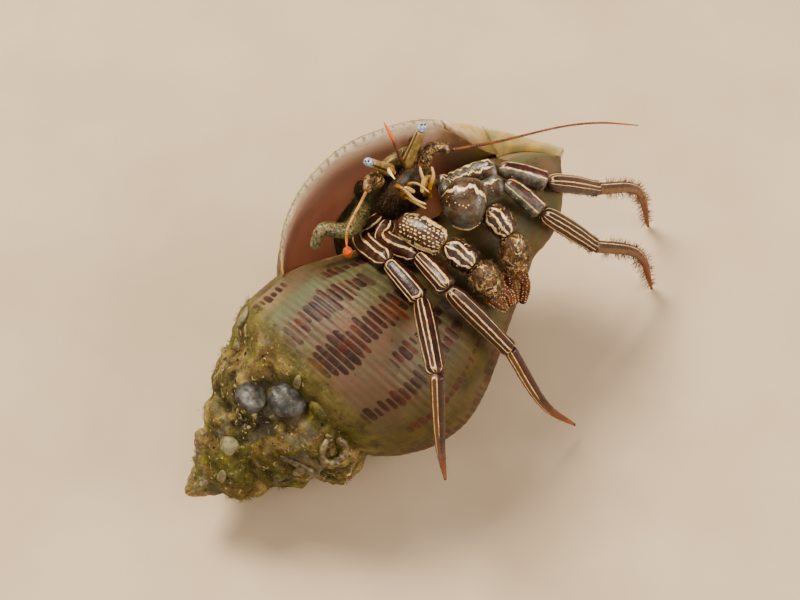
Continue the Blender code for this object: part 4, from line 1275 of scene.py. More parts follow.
def growths():
    """Two smooth dark bumps, pale flakes, a yellow-green lump, two worm's tubes and tufts of algae."""
    mesh = ShellMesh()
    glossy, pale, yellow = Heap(), Heap(), Heap()
    for x, degrees, radii in ((14.9, 44, (2.1, 2.6, 1.05)), (18.7, 62, (2.9, 2.8, 1.2))):
        point, out, way = on_shell(mesh, x, degrees)
        ball(glossy, point + out * 0.15, radii, [way, np.cross(out, way), out], sides=26, rings=16)
    glossy.roughen(1.5, 3, 4, 0.32)
    paint = growth_paint("glossy_growth", "#22201c", "#4a4640", "#1c150b", 1.3, 0.12, 0.48)
    glossy.piece("glossy_growths", paint, slot="crust")
    flakes = ((8.4, 56, (1.35, 1.5, 0.6)), (21.2, 58, (1.5, 0.6, 0.4)), (21.4, 1, (1.9, 1.3, 0.5)),
              (18.4, -8, (1.2, 1.0, 0.5)), (13.4, 116, (1.3, 0.8, 0.5)), (4.6, 80, (1.0, 0.7, 0.4)))
    for x, degrees, radii in flakes:
        point, out, way = on_shell(mesh, x, degrees)
        tilt = unit(way + 0.5 * np.cross(out, way))
        ball(pale, point + out * 0.1, radii, [tilt, np.cross(out, tilt), out], sides=16, rings=10)
    pale.roughen(1.2, 3, 14, 0.4)
    paint = growth_paint("pale_growth", "#5a5238", "#7c7354", "#3a3218", 0.8, 0.05, 0.65)
    pale.piece("pale_growths", paint, slot="crust")
    point, out, way = on_shell(mesh, 20.8, 79)
    ball(yellow, point, (0.9, 1.7, 0.7), [way, np.cross(out, way), out], sides=20, rings=12)
    yellow.roughen(1.0, 3, 5, 0.3)
    paint = growth_paint("yellow_growth", "#403c10", "#5c5620", "#2b2c0e", 0.6, 0.0, 0.6)
    yellow.piece("yellow_growth", paint, slot="crust")

    point, out, way = on_shell(mesh, 18.6, 106)
    aside = np.cross(out, way)
    ring = [point + 1.75 * (way * math.cos(t) + aside * math.sin(t)) + out * (0.25 + 0.10 * t)
            for t in np.linspace(0.9, 6.9, 16)]
    ridge = [on_shell(mesh, x, degrees) for x, degrees in ((12.6, 96), (13.6, 104), (14.6, 114), (15.0, 126))]
    tube = growth_paint("worm_tube", "#382c16", "#6e613e", "#1a1208", 0.9, 0.2, 0.4)
    Limb(ring, (0.9, 1.15, 1.25, 1.3, 1.2), blunt=(0.3, 0.2), sides=20).roughen(0.9, 0.22).piece(
        "worm_tube_ring", tube, slot="crust")
    Limb([at + up * 0.12 for at, up, _ in ridge], (0.7, 1.2, 1.3, 0.7), blunt=(0.5, 0.5), sides=20).roughen(
        0.9, 0.22).piece("worm_tube_ridge", tube, slot="crust")

    tufts, draw = Bristles(seed=21), np.random.default_rng(22)
    for k in range(150):
        x, degrees = 3.0 + 21.0 * draw.random(), 360.0 * draw.random()
        point, out, way = on_shell(mesh, x, degrees)
        for _ in range(11):
            spread = draw.normal(size=3)
            root = point + 0.35 * (spread - out * (spread @ out))
            lean = unit(way * 0.3 + draw.normal(size=3))
            tufts.hair(root, unit(out + 0.5 * draw.normal(size=3)), lean, 0.35 + 0.5 * draw.random(), 0.06,
                       ((k % 20 + 0.5) / 20, (k // 20 + 0.5) / 20), draw.random())
    tufts.piece("spire_algae", bristle_paint("algae_tuft", "#30340f", "#585e1c", "#7f7c3a"), slot="crust")


# ---------------------------------------------------------------- walking legs
LEGS = {
    "leg_right_2": dict(
        hip=[body(-4.9, -4.6, 0.4), (39.4, 4.6, 32.2)], curl=(-1.3, -0.8, -0.8),
        joints=[(40.1, -2.0, 35.3), (39.2, -9.7, 36.9), (44.8, -16.9, 24.1), (52.8, -24.4, 2.7)]),
    "leg_right_3": dict(
        hip=[body(-5.2, -3.0, -1.8), (37.4, 7.4, 31.2)], curl=(-0.9, -0.7, 0.2),
        joints=[(36.2, -0.1, 35.2), (36.0, -7.7, 34.8), (28.4, -20.1, 39.6), (27.4, -23.8, 15.8)]),
    "leg_left_2": dict(
        hip=[body(4.7, -5.4, 1.2), (50.6, 2.1, 34.9)], curl=(2.2, 0.3, 2.2),
        joints=[(57.0, -0.8, 36.6), (59.1, -6.6, 33.6), (67.7, -10.0, 20.8), (79.9, -12.9, -0.1)]),
    "leg_left_3": dict(
        hip=[body(4.9, -4.2, -1.0), (52.8, 6.0, 32.6)], curl=(2.6, 0.6, 2.4), merus=(2.6, 3.7, 4.2, 3.4),
        joints=[(58.2, 1.9, 36.0), (63.5, -2.8, 33.1), (74.6, -2.8, 21.5), (87.7, -3.7, -0.1)]),
}


def leg_paints():
    """The paint of every leg piece: most are lined, and the left legs' upper pieces are grey-brown."""
    lined = dict(
        leg_right_2_carpus=([(-0.86, 0.05, 0.01), (-0.38, 0.07, 0.03), (-0.08, 0.07, 0.03),
                             (0.46, 0.13, 0.05, 1.1, 0.4)], [(-0.08, 0.46)]),
        leg_right_2_propodus=([(-0.95, 0.05, 0.01), (-0.45, 0.07, 0.02), (0.02, 0.11, 0.05, 1.1, 0.45),
                               (0.68, 0.05, 0.015)], [(-0.45, 0.02)]),
        leg_right_3_carpus=([(-0.8, 0.06, 0.01), (-0.45, 0.07, 0.03), (0.55, 0.09, 0.03)],
                            [(-0.45, 0.55)]),
        leg_right_3_propodus=([(-0.93, 0.06, 0.01), (-0.42, 0.08, 0.02), (0.04, 0.10, 0.05, 1.1, 0.4),
                               (0.7, 0.05, 0.015)], [(-0.42, 0.04)]),
        leg_left_2_propodus=([(0.9, 0.06, 0.02), (0.45, 0.07, 0.04), (0.0, 0.07, 0.05),
                              (-0.45, 0.07, 0.04), (-0.9, 0.06, 0.02)], [(0.0, 0.45)]),
        leg_left_3_propodus=([(0.93, 0.06, 0.01), (0.7, 0.06, 0.01), (0.12, 0.09, 0.02),
                              (-0.28, 0.05, 0.03)], [(0.12, 0.7)]))
    paints = {name: leg_paint(name, stripes, joined) for name, (stripes, joined) in lined.items()}
    for number in "23":
        right, left = f"leg_right_{number}", f"leg_left_{number}"
        lines = [(-0.7, 0.08, 0.04), (0.15, 0.13, 0.08, 1.1, 0.5), (0.78, 0.10, 0.04)]
        paints[f"{right}_merus"] = leg_paint(
            f"{right}_merus", lines, pale="#cdb287", dark="#2a160b", red="#4a2a14")
        paints[f"{right}_dactyl"] = dactyl_paint(
            f"{right}_dactyl", [(-0.72, 0.10, 0.01, 0.66), (-0.08, 0.10, 0.015, 0.46)], 0.5)
        paints[f"{left}_dactyl"] = dactyl_paint(f"{left}_dactyl", [(0.55, 0.09, 0.01, 0.6)], 0.35)
    for name, *marking in (("leg_left_3_merus", ((-0.2, 0.35), (0.35, 0.95)), 3.0, (0.28, 0.9), 0.6),
                           ("leg_left_2_merus", ((-0.5, 0.5), (0.3, 0.95)), 5.0, (0.5,), 0.5)):
        paints[name] = slate_paint(name, *marking)
    for name, lines in (("leg_left_3_carpus", [(0.9, 0.07, 0.05, 1.1, 0.4), (0.2, 0.12, 0.09, 1.1, 0.6)]),
                        ("leg_left_2_carpus", [(0.7, 0.10, 0.07, 1.1, 0.4), (-0.3, 0.07, 0.08, 1.1, 0.5)])):
        paints[name] = left_carpus_paint(name, lines)
    return paints


def left_carpus_paint(name, stripes):
    """Dark red-brown along the top between cream lines, and grey-brown below."""
    p = Paint(name, roughness=0.33, Coat_Weight=0.3, Coat_Roughness=0.18)
    across, end = p.marks("across end")
    top = p.mottle("#2c110d", "#4d2014", 1.0, 3, 0.4, 0.62)
    grey = p.mottle("#38332a", "#5f5d52", 1.5, 4, 0.36, 0.62)
    grey = p.mottle(grey, "#4b3519", 1.1, 3, 0.5, 0.62, 0.8)
    grey = p.mix(grey, "#cdb287", p.cells(0.6).between(0.2, 0.12) * p.noise(1.2, 2).between(0.5, 0.58))
    ground = p.mix(grey, top, across.between(0.08, 0.2))
    cream = p.mottle("#c9ad80", "#a3845a", 0.9, 3, 0.42, 0.66)
    ground = p.mix(ground, cream, stripe_mask(p, stripes))
    ground = p.mix(ground, "#3a2113", end.between(0.6, 0.3) * 0.85)
    return p.finish(ground, p.noise(0.35, 4), 0.1)


def walking_legs(membranes):
    paints = leg_paints()
    coat = bristle_paint("leg_bristle", "#3a1a0c", "#8a5a2a", "#c79a5c")
    for name, plan in LEGS.items():
        side = "left" if "left" in name else "right"
        knee, ankle, wrist, tip = (Vector(joint) for joint in plan["joints"])
        paths = dict(merus=[Vector(point) for point in plan["hip"]] + [knee],
                     carpus=bow(knee, ankle, (0, 0, 0.2)), propodus=bow(ankle, wrist, (0, 0, 0.2)),
                     dactyl=bow(wrist, tip, plan["curl"], 0.55))
        sizes = dict(LEG_WIDTHS, merus=plan.get("merus", LEG_WIDTHS["merus"]))
        hairs = Bristles(seed=len(name) + ord(name[-1]), cells=4)
        for i, piece, limb in limb_pieces(paths, sizes, LEG_BLUNTNESS, membranes, LEG_FLATNESS):
            limb.shape(four_sided)
            limb.roughen(0.9, 0.05, seed=i + 3)
            slot = "tip" if piece == "dactyl" else "leg"
            limb.stand_for(f"{name}_{piece}", paints[f"{name}_{piece}"], slot)
            leg_hairs(hairs, limb, side, piece)
        hairs.piece(f"{name}_bristles", coat, slot="leg")


def limb_pieces(paths, sizes, blunts, membranes, flatness, sides=40):
    """The number, name and form of each piece of a limb. Each reaches back into the joint before it,
    where dark skin is added, and has a rim at the joint after it."""
    order = list(paths)
    for i, piece in enumerate(order):
        last = i == len(order) - 1
        start = -OVERLAP if i else 0.0
        end = 0.0 if last else bend_room(paths[piece], paths[order[i + 1]], sizes[piece][-1])
        limb = Limb(paths[piece], sizes[piece], flatness, start=start, end=end, blunt=blunts[piece],
                    sides=sides)
        if not last:
            limb.shape(joint_rims)
        if i:
            joint_ball(membranes, paths[piece][0], sizes[piece][0], limb.ahead[0])
        yield i, piece, limb


def joint_rims(share, turn):
    """Narrower at the joint before, with a flared rim at the joint after that bulges at its two hinges."""
    neck = -0.20 * (1.0 - smooth(share / 0.15))
    rim = smooth((share - 0.84) / 0.09) * (1.0 - 0.8 * smooth((share - 0.94) / 0.06))
    return 1.0 + neck + rim * (0.04 + 0.07 * np.cos(TURN * turn) ** 2)


def four_sided(share, turn):
    """A round ring, a little squared."""
    return 1.0 - 0.035 * np.cos(2.0 * TURN * turn)


def leg_hairs(hairs, limb, side, piece):
    """Long fringes on both edges of the left dactyls, and sparse short bristles elsewhere."""
    if piece == "dactyl" and side == "left":
        hairs.on(limb, 110, 1.15, 0.08, turns=(-0.05, 0.05), shares=(0.12, 0.95), lean=0.5)
        hairs.on(limb, 130, 1.35, 0.08, turns=(0.44, 0.56), shares=(0.1, 0.95), lean=0.4)
        hairs.on(limb, 120, 0.5, 0.06, shares=(0.3, 0.95))
    elif piece == "dactyl":
        hairs.on(limb, 60, 0.4, 0.05, shares=(0.2, 0.9))
    elif piece == "propodus":
        hairs.on(limb, 60, 0.55, 0.06, turns=(0.42, 0.6) if side == "left" else (0.0, 1.0))
        hairs.on(limb, 24, 0.7, 0.06, shares=(0.93, 0.98))
    else:
        hairs.on(limb, 30, 0.45, 0.05, shares=(0.85, 0.98))
        hairs.on(limb, 40, 0.35, 0.05)
    hairs.next_limb()


def joint_ball(membranes, centre, width, ahead):
    """Dark soft skin between two pieces."""
    aside = unit(np.cross(ahead, np.array(FACING)))
    axes = np.array([ahead, aside, np.cross(ahead, aside)])
    ball(membranes, centre, (0.26 * width, 0.33 * width, 0.24 * width), axes)


# ---------------------------------------------------------------- chelipeds
CHELIPEDS = {
    "cheliped_left": dict(
        joints=[(47.2, 1.9, 38.0), (51.6, -3.1, 37.6), (52.4, -7.1, 35.0), (51.8, -9.6, 30.6),
                (50.7, -12.2, 24.6)], merus=(4.0, 6.8, 7.2, 4.8)),
    "cheliped_right": dict(
        joints=[(40.8, 3.5, 36.8), (43.2, -4.0, 37.4), (44.8, -8.2, 35.6), (46.4, -10.8, 31.6),
                (48.2, -12.8, 27.0)], merus=(3.0, 4.2, 4.3, 3.3)),
}
CLAW_FLATNESS = 0.78
CARPUS_WIDTHS = (3.0, 3.8, 3.2)
PALM_WIDTHS = (3.0, 4.1, 3.5, 1.9, 1.6, 1.0)
FINGER_WIDTHS = (1.7, 1.8, 1.5, 0.9)
# The count and length of each piece's bristles, and the shares of its length that they are on.
CLAW_HAIRS = dict(merus=(90, 0.4, (0.6, 0.97)), carpus=(200, 0.5, (0.1, 0.95)), palm=(800, 0.7, (0.1, 0.58)))
# The number of rows of small bumps, and the share of the piece's length where they start.
TUBERCLE_ROWS = dict(palm=(6, 0.42), finger=(5, 0.04))
TUBERCLE_PITCH = 0.42


def chelipeds(membranes):
    coat = bristle_paint("claw_bristle", "#2c1a0b", "#7d5a2c", "#c9a468")
    finger = finger_paint()
    pale = plain_paint("tubercle", "#a98a58", "#d9c094", 0.5, 0.4)
    paints = dict(
        cheliped_left_merus=slate_paint("claw_left_merus", ((-0.35, 0.75), (0.10, 0.80)), 1.0, (0.52,), 0.9),
        cheliped_left_carpus=outlined_paint("claw_left_carpus", (-0.75, -0.15, 0.45), "#2a140b"),
        cheliped_left_palm=bristly_paint("claw_left_palm", orange=0.5),
        cheliped_right_merus=spotted_paint("claw_right_merus"),
        cheliped_right_carpus=outlined_paint("claw_right_carpus", (-0.6, 0.05, 0.6), "#22100d"),
        cheliped_right_palm=bristly_paint("claw_right_palm", orange=0.15))
    for name, plan in CHELIPEDS.items():
        base, elbow, wrist, knuckle, tip = (Vector(joint) for joint in plan["joints"])
        aside = FACING.cross(tip - knuckle).normalized()
        paths = dict(merus=bow(base, elbow, (0, 0, 0.4)), carpus=bow(elbow, wrist, (0, 0, 0.3)),
                     palm=[wrist, knuckle, knuckle.lerp(tip, 0.5) + aside * 0.95, tip + aside * 0.35])
        sizes = dict(merus=plan["merus"], carpus=CARPUS_WIDTHS, palm=PALM_WIDTHS)
        blunts = dict.fromkeys(paths, (0.36, 0.24))
        hairs, bumps = Bristles(seed=ord(name[9]), cells=4), Heap()
        for i, piece, limb in limb_pieces(paths, sizes, blunts, membranes, CLAW_FLATNESS, sides=48):
            limb.roughen(1.3, 0.09, seed=i + 11)
            limb.stand_for(f"{name}_{piece}", paints[f"{name}_{piece}"], "claw")
            tubercles(bumps, limb, name, piece)
            count, length, shares = CLAW_HAIRS[piece]
            hairs.on(limb, count, length, 0.055, shares=shares).next_limb()
        finger_path = [knuckle.lerp(tip, 0.1) - aside * 1.45, knuckle.lerp(tip, 0.5) - aside * 1.05,
                       tip - aside * 0.6]
        limb = Limb(finger_path, FINGER_WIDTHS, 0.88, blunt=(0.3, 0.7), sides=36).roughen(0.8, 0.05)
        limb.stand_for(f"{name}_finger", finger, "tip")
        tubercles(bumps, limb, name, "finger")
        hairs.on(limb, 50, 0.35, 0.04)
        hairs.piece(f"{name}_bristles", coat, slot="claw")
        bumps.piece(f"{name}_tubercles", pale, slot="claw")


def tubercles(bumps, limb, name, piece):
    """Rows of small rounded bumps along the fingers and palm, and denticles on the merus's lower edge."""
    draw = np.random.default_rng(len(name) * 7 + len(piece))
    if piece == "carpus":
        return
    if piece == "merus":
        for share in np.linspace(0.35, 0.97, 19):
            root, out, way = limb.surface(share, 0.485)
            tubercle(bumps, root, out, way, 0.24 + 0.1 * draw.random(), 0.2)
        return
    (rows, first), last = TUBERCLE_ROWS[piece], 0.96
    for row in range(rows):
        turn = -0.04 + 0.58 * row / (rows - 1)
        count = int(limb.span * (last - first) / TUBERCLE_PITCH)
        for k in range(count):
            share = first + (last - first) * (k + 0.5 + 0.35 * (draw.random() - 0.5)) / count
            root, out, way = limb.surface(share, turn + 0.012 * draw.normal())
            size = 0.17 + 0.09 * draw.random()
            tubercle(bumps, root, out, way, size, size * 0.6)


# ---------------------------------------------------------------- body and head
def trunk():
    """One skin over thorax and abdomen, which coils into the last whorl, and the separate shield."""
    dorsal = BODY_AXES[1]
    coil = []
    for degrees in (295, 268, 240, 212, 190, 174):
        back = (295 - degrees) / 121
        x, radius = 43.0 - 7.2 * back, 15.8 - 3.9 * back ** 0.8
        coil.append(stand(round_axis(x, radius, math.radians(degrees))))
    chest = [body(0, *at) for at in ((-2.7, 5.0), (-2.6, 0), (-2.3, -4.6), (-1.1, -7.6), (0.3, -9.8))]
    widths = (4.8, 8.9, 10.0, 8.4, 6.8, 6.6, 6.2, 5.6, 4.9, 3.6, 1.6)
    depths = (3.2, 5.3, 6.0, 6.0, 6.8, 8.0, 7.6, 6.8, 5.8, 4.4, 2.0)
    skin = Limb(chest + coil, widths, facing=dorsal, depths=depths, blunt=(0.35, 0.5), sides=64, step=0.4)
    skin.roughen(2.2, 0.18)
    skin.shape(lambda share, turn: 1.0 + 0.02 * np.sin(90 * share) * smooth((share - 0.4) / 0.1))
    paint = Paint("crab_skin", roughness=0.55)
    along = paint.mark("along")
    green = paint.mottle("#57532a", "#7f8a62", 1.3, 4, 0.38, 0.62)
    green = paint.mottle(green, "#6a8068", 3.2, 3, 0.5, 0.66, 0.7)
    green = paint.mix(green, "#8a8658", paint.cells(0.5).between(0.2, 0.1) * 0.6)
    mouth = paint.mottle("#22160a", "#53381a", 0.9, 4, 0.42, 0.66)
    green = paint.mix(mouth, green, (along + (paint.noise(2.0, 3) - 0.5) * 0.12).between(0.12, 0.19))
    soft = paint.mottle("#a8683f", "#8b4a30", 2.5, 4, 0.4, 0.62)
    colour = paint.mix(green, soft, along.between(0.52, 0.62))
    paint.finish(colour, paint.noise(0.5, 4), 0.15)
    nodes = ("thorax", "abdomen_front", "abdomen_rear", "tail_fan")
    skin.piece("body_skin", paint.material, nodes=nodes, slot="flesh")

    shield_path = [body(0, 1.2, 5.0), body(0, 1.6, 0), body(0, 1.6, -4.6)]
    shield = Limb(shield_path, (5.0, 7.4, 8.6, 9.0, 8.2), 0.24, facing=dorsal, blunt=(0.3, 0.3), sides=56)
    shield.roughen(1.0, 0.06)
    shield.piece("shield_plate", marbled_paint("shield_plate", "#3c3019", "#5b5a34", "#a89a6c", 1.3, 0.3),
                 nodes=("shield",), slot="leg")
    fuzz = Bristles(seed=5)
    fuzz.on(skin, 1500, 0.7, 0.06, shares=(0.01, 0.17), lean=0.9, ragged=0.5)
    coat = bristle_paint("mouth_bristle", "#241808", "#6a4c20", "#a8874a")
    fuzz.piece("mouth_bristles", coat, slot="flesh")
    moss = Bristles(seed=15)
    moss.on(skin, 3200, 0.45, 0.055, shares=(0.15, 0.55), lean=0.9, ragged=0.6)
    coat = bristle_paint("body_bristle", "#3a3c1c", "#76825a", "#aead80")
    moss.piece("body_bristles", coat, slot="flesh")


EYES = dict(left=((46.1, 8.2, 40.2), (49.5, 8.6, 46.6)), right=((44.0, 9.0, 40.2), (40.0, 9.2, 45.6)))
FEELERS = {
    "antennule_left": ([(45.0, 7.2, 42.4), (44.6, 7.6, 44.2), (44.6, 9.4, 47.0), (44.6, 11.2, 48.6)],
                       (1.0, 0.8, 0.7, 0.8, 0.5)),
    "antennule_right": ([(43.2, 7.2, 42.3), (42.2, 7.0, 44.4), (41.0, 5.4, 46.4), (40.6, 3.8, 46.8)],
                        (1.0, 0.8, 0.7, 0.8, 0.5)),
    "antenna_left": ([(52.1, 5.4, 41.9), (58.3, 2.3, 42.0), (67.1, -0.5, 40.8), (72.8, -2.9, 39.5),
                      (79.0, -4.8, 35.7)], (1.0, 0.75, 0.6, 0.55, 0.5)),
    "antenna_right": ([(37.8, 6.6, 43.2), (36.0, 5.6, 43.2), (32.4, 3.8, 42.6), (29.6, 0.4, 43.9)],
                      (1.0, 0.8, 0.65, 0.8, 0.6)),
}
ANTENNA_BASES = {
    "antenna_base_left": [(47.6, 6.6, 40.0), (49.6, 7.0, 42.9), (51.8, 5.6, 42.0)],
    "antenna_base_right": [(41.6, 8.3, 40.4), (39.8, 8.2, 42.6), (38.0, 6.8, 43.0)],
}
MAXILLIPEDS = {
    "maxilliped_left": [(46.9, 5.0, 37.6), (47.6, 4.2, 40.0), (46.0, 4.0, 41.8), (44.9, 3.2, 40.4)],
    "maxilliped_right": [(43.8, 5.6, 38.2), (42.8, 4.9, 40.0), (43.0, 4.4, 41.8), (44.0, 3.6, 41.0)],
}
PALPS = [
    ([(43.6, 6.2, 38.6), (42.4, 5.7, 41.6), (42.5, 3.9, 42.3), (42.7, 2.2, 42.0), (43.8, 0.9, 41.2)],
     (0.9, 0.95, 0.9, 0.75, 0.4)),
    ([(43.4, 5.0, 38.6), (42.6, 3.9, 40.8), (42.9, 2.2, 41.0), (43.6, 0.7, 40.6)], (0.9, 0.85, 0.7, 0.4)),
    ([(45.8, 3.6, 38.4), (46.0, 3.6, 41.0), (45.9, 4.4, 42.2), (46.2, 5.3, 43.2)], (1.1, 1.0, 0.9, 0.5)),
    ([(46.2, 3.0, 38.4), (46.2, 3.0, 41.0), (47.1, 3.4, 42.2), (47.5, 4.3, 43.2)], (1.0, 0.9, 0.8, 0.5)),
    ([(44.4, 5.2, 38.4), (43.8, 4.8, 41.6), (44.4, 3.6, 42.6), (45.2, 2.0, 41.6)], (0.9, 0.8, 0.6, 0.4)),
]


def eye_paint():
    """Pale blue facets under a glossy cornea, darker towards the stalk."""
    p = Paint("eye", roughness=0.08, Coat_Weight=1.0, Coat_Roughness=0.03)
    along = p.mark("along")
    colour = p.mottle("#6f86a6", "#b9c8d6", 0.35, 2, 0.4, 0.65)
    colour = p.mix(colour, "#2d3a5e", along.between(0.3, 0.05))
    return p.finish(colour, p.cells(0.09).between(0.0, 0.5), 0.01)


def stalk_paint():
    """Yellow-tan with a dark line along one edge."""
    p = Paint("eyestalk", roughness=0.35, Coat_Weight=0.25, Coat_Roughness=0.2)
    across, along = p.marks("across along")
    colour = p.mottle("#7a643a", "#9d8352", 0.9, 3, 0.4, 0.62)
    line = abs(across - 0.55 - (p.noise(0.8, 2) - 0.5) * 0.2).between(0.2, 0.12)
    colour = p.mix(colour, "#2f1d0e", line * 0.9)
    colour = p.mix(colour, "#5b4222", along.between(0.16, 0.0))
    return p.finish(colour, p.noise(0.3, 4), 0.06)


def head():
    ahead = BODY_AXES[2]
    stalk, eye = stalk_paint(), eye_paint()
    hairs = Bristles(seed=8, cells=20)
    pupils = Heap()
    for side, (base, tip) in EYES.items():
        base, tip = Vector(base), Vector(tip)
        way = (tip - base).normalized()
        neck = tip - way
        limb = Limb([base, neck], (1.9, 1.62, 1.42, 1.30), facing=ahead, blunt=(0.2, 0.2), sides=32)
        limb.stand_for(f"eyestalk_{side}", stalk, "stalk")
        hairs.on(limb, 30, 0.4, 0.04, shares=(0.0, 0.5)).next_limb()
        path = [neck - way * 0.15, neck.lerp(tip + way * 0.9, 0.5), tip + way * 0.4]
        limb = Limb(path, (1.15, 1.28, 1.2, 0.85), facing=ahead, blunt=(0.3, 0.62), sides=36)
        limb.piece(f"eye_{side}_cornea", eye, nodes=(f"eye_{side}",), slot="eye")
        middle = np.array(tip - way * 0.1)
        for aside in (-0.2, 0.2):
            look = unit(np.array(FACING) + aside * np.array(EYE_ACROSS))
            ball(pupils, middle + look * 1.08, (0.17, 0.17, 0.17))
    pupils.piece("eye_spots", plain_paint("eye_spot", "#060a1c", "#101c3c", 0.5, 0.12, coat=1.0), slot="eye")

    feeler = feeler_paint("feeler", "#3c1e0e", "#6e3c1e", "#8a5a30", "#9a4a1c")
    feelers = dict(
        antenna_right=feeler_paint("feeler_right", "#6e4a1a", "#a97a34", "#bf9650", "#c24d10"),
        antennule_left=feeler_paint("feeler_upper", "#3a1f10", "#5e3418", "#7a4a26", "#c9622a", 0.55),
        antennule_right=feeler_paint("feeler_lower", "#7a5424", "#b58c50", "#d2b47c", "#dcc48e", 0.5))
    for name, (path, widths) in FEELERS.items():
        fine = tuple((0.5 if "antenna_" in name else 0.62) * w for w in widths)
        limb = Limb(path, fine[:-1] + (0.16,), facing=ahead, blunt=(0.2, 0.6), sides=14, step=0.11)
        rings_of_skin(limb)
        limb.piece(f"{name}_flagellum", feelers.get(name, feeler), nodes=(name,), slot="feeler")
        hairs.on(limb, 60, 0.3, 0.035, shares=(0.05, 0.98)).next_limb()
    bulb = Heap()
    ball(bulb, (29.6, 0.2, 43.8), (0.68, 0.68, 0.72), sides=18, rings=12)
    bulb.roughen(0.8, 2, 6, 0.1)
    bulb.piece("antenna_right_tip", plain_paint("feeler_tip", "#8a3008", "#b85414", 0.6, 0.45), slot="feeler")
    base_paint = marbled_paint("antenna_base", "#2a1a0c", "#4e351a", "#b99a68", 0.6, 0.35)
    for name, path in ANTENNA_BASES.items():
        limb = Limb(path, (1.9, 2.0, 1.5, 1.2), facing=ahead, blunt=(0.3, 0.3), sides=32).roughen(0.6, 0.08)
        limb.shape(lambda share, turn: 1.0 - 0.16 * np.exp(-((share - 0.45) / 0.035) ** 2)
                   - 0.14 * np.exp(-((share - 0.72) / 0.03) ** 2))
        limb.stand_for(name, base_paint, "leg")
        hairs.on(limb, 130, 0.7, 0.05).next_limb()
    jaw = plain_paint("maxilliped", "#5a3610", "#96682a", 0.9, 0.35, "#c4a468", 0.25, (0.5, 1.0))
    for name, path in MAXILLIPEDS.items():
        limb = Limb(path, (1.4, 1.2, 0.8, 0.5), 0.8, facing=ahead, blunt=(0.3, 0.5), sides=28)
        limb.roughen(0.6, 0.05)
        limb.stand_for(name, jaw, "stalk")
        hairs.on(limb, 60, 0.5, 0.045).next_limb()
    palps = Heap()
    for path, widths in PALPS:
        limb = Limb(path, [0.62 * w for w in widths], 0.8, blunt=(0.3, 0.7), sides=20, step=0.2)
        points, faces, marks = limb.grid()
        palps.add(points, faces, **marks)
        hairs.on(limb, 26, 0.45, 0.04).next_limb()
    paint = plain_paint("mouth_palp", "#6a4214", "#a87e38", 0.7, 0.35, "#b89c62", 0.3, (0.45, 0.95))
    palps.piece("mouth_palps", paint, slot="stalk")
    hairs.piece("head_bristles", bristle_paint("head_bristle", "#22160a", "#7a5826", "#c4a05a"), slot="stalk")


def rings_of_skin(limb):
    """The fine rings of a feeler."""
    count = limb.span / FEELER_RING
    limb.shape(lambda share, turn: 1.0 + 0.10 * np.cos(TURN * count * share))


def feeler_paint(name, dark, mid, ring, tip, tip_from=0.75):
    p = Paint(name, roughness=0.4)
    along, start = p.marks("along start")
    colour = p.mottle(dark, mid, 1.2, 3, 0.4, 0.62)
    rings = (start / FEELER_RING).fraction().between(0.55, 0.8)
    colour = p.mix(colour, ring, rings * 0.5)
    return p.finish(p.mix(colour, tip, along.between(tip_from, tip_from + 0.15)))


def rear_legs():
    """The short fourth and fifth legs, which brace the crab against the inside of its shell."""
    across = BODY_AXES[1]
    paint = marbled_paint("rear_leg", "#272512", "#565636", "#8f8a62", 0.4, 0.5)
    coat = Bristles(seed=6, cells=4)
    plans = {
        "leg_right_4": ([body(-5.9, -0.5, -1.6), (35.4, 7.6, 35.0), (32.0, 9.2, 36.4), (29.6, 8.4, 34.6)],
                        (2.0, 2.5, 2.3, 2.0, 1.2)),
        "leg_left_4": ([body(5.3, 1.0, -4.6), body(5.6, 1.8, -2.6), body(5.6, 1.9, -0.4),
                        body(6.0, 1.2, 1.6)], (1.3, 1.5, 1.4, 1.2, 0.8)),
    }
    for side, way in (("left", 1), ("right", -1)):
        plans[f"leg_{side}_5"] = ([body(way * 3.2, 3.2, -6.3), body(way * 4.5, 2.9, -7.4),
                                   body(way * 5.0, 2.0, -8.6)], (1.0, 1.2, 0.9, 0.7))
    for name, (path, widths) in plans.items():
        limb = Limb(path, widths, facing=across, blunt=(0.3, 0.5), sides=28).roughen(0.6, 0.12)
        limb.stand_for(name, paint, "leg")
        coat.on(limb, 220, 0.42, 0.045).next_limb()
    paint = bristle_paint("rear_leg_bristle", "#3a3518", "#857a46", "#c0b47c")
    coat.piece("rear_leg_bristles", paint, slot="leg")


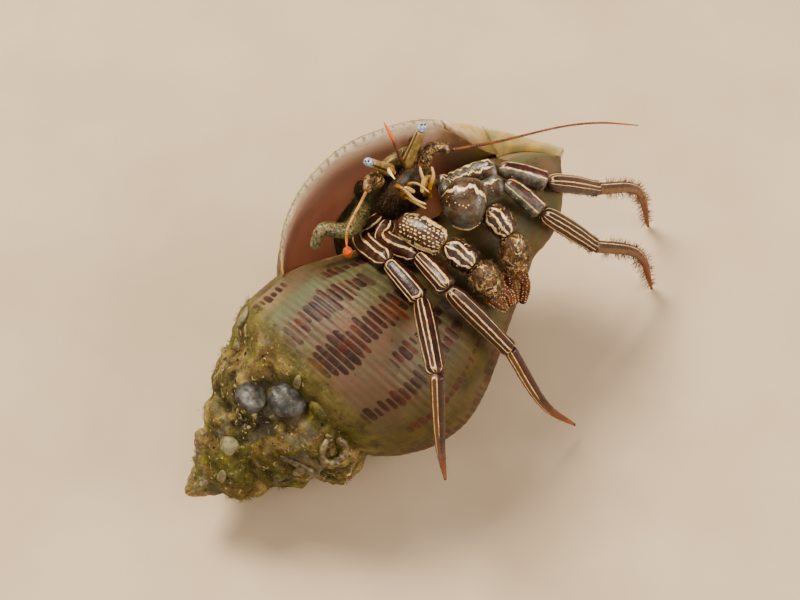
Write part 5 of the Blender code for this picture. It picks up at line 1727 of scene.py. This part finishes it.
# ---------------------------------------------------------------- stage
def stage():
    """A plain pale floor, soft light from the upper left of the view, and the camera."""
    scene = bpy.context.scene
    world = bpy.data.worlds.new("studio")
    world.use_nodes = True
    world.node_tree.nodes["Background"].inputs["Color"].default_value = (1.0, 0.93, 0.84, 1.0)
    world.node_tree.nodes["Background"].inputs["Strength"].default_value = 0.36
    scene.world = world
    scene.view_settings.look = "AgX - Medium High Contrast"

    bpy.ops.mesh.primitive_plane_add(size=1.6, location=(0, 0, 0))
    floor = bpy.context.object
    floor.name = "studio_floor"
    paint = Paint("studio_floor", roughness=0.9)
    paint.finish(paint.mottle("#b3a089", "#baa891", 25.0, 3, 0.35, 0.65))
    floor.data.materials.append(paint.material)

    def lamp(name, toward, size, power, colour):
        light = bpy.data.lights.new(name, "AREA")
        light.size, light.energy, light.color = size, power, colour
        made = bpy.data.objects.new(name, light)
        place_at = Vector(toward).normalized() * 0.7
        made.location = place_at
        made.rotation_euler = (-place_at).to_track_quat("-Z", "Y").to_euler()
        scene.collection.objects.link(made)

    lamp("key", (-0.12, 0.60, 1.0), 0.26, 7.5, (1.0, 0.92, 0.78))
    lamp("fill", (-0.75, -0.8, 1.0), 0.8, 2.2, (1.0, 0.93, 0.84))
    lamp("warm_fill", (0.55, -0.8, 0.6), 0.5, 4.6, (1.0, 0.90, 0.80))

    camera = bpy.data.cameras.new("camera")
    camera.angle = VIEW_ANGLE
    camera.clip_start, camera.clip_end = 0.01, 5.0
    made = bpy.data.objects.new("camera", camera)
    azimuth, elevation = math.radians(VIEW_AZIMUTH), math.radians(VIEW_ELEVATION)
    back = Vector((math.sin(azimuth) * math.cos(elevation), -math.cos(azimuth) * math.cos(elevation),
                   math.sin(elevation)))
    aim = Vector(place(VIEW_AIM)[0])
    made.location = aim + back * VIEW_DISTANCE * MM
    made.rotation_euler = back.to_track_quat("Z", "Y").to_euler()
    scene.collection.objects.link(made)
    scene.camera = made


def main():
    shell()
    growths()
    membranes = Heap()
    walking_legs(membranes)
    chelipeds(membranes)
    membranes.piece("joint_skin", plain_paint("joint_skin", "#1d0c08", "#3a1c10", 0.6, 0.4), slot="leg")
    trunk()
    head()
    rear_legs()
    stage()


main()
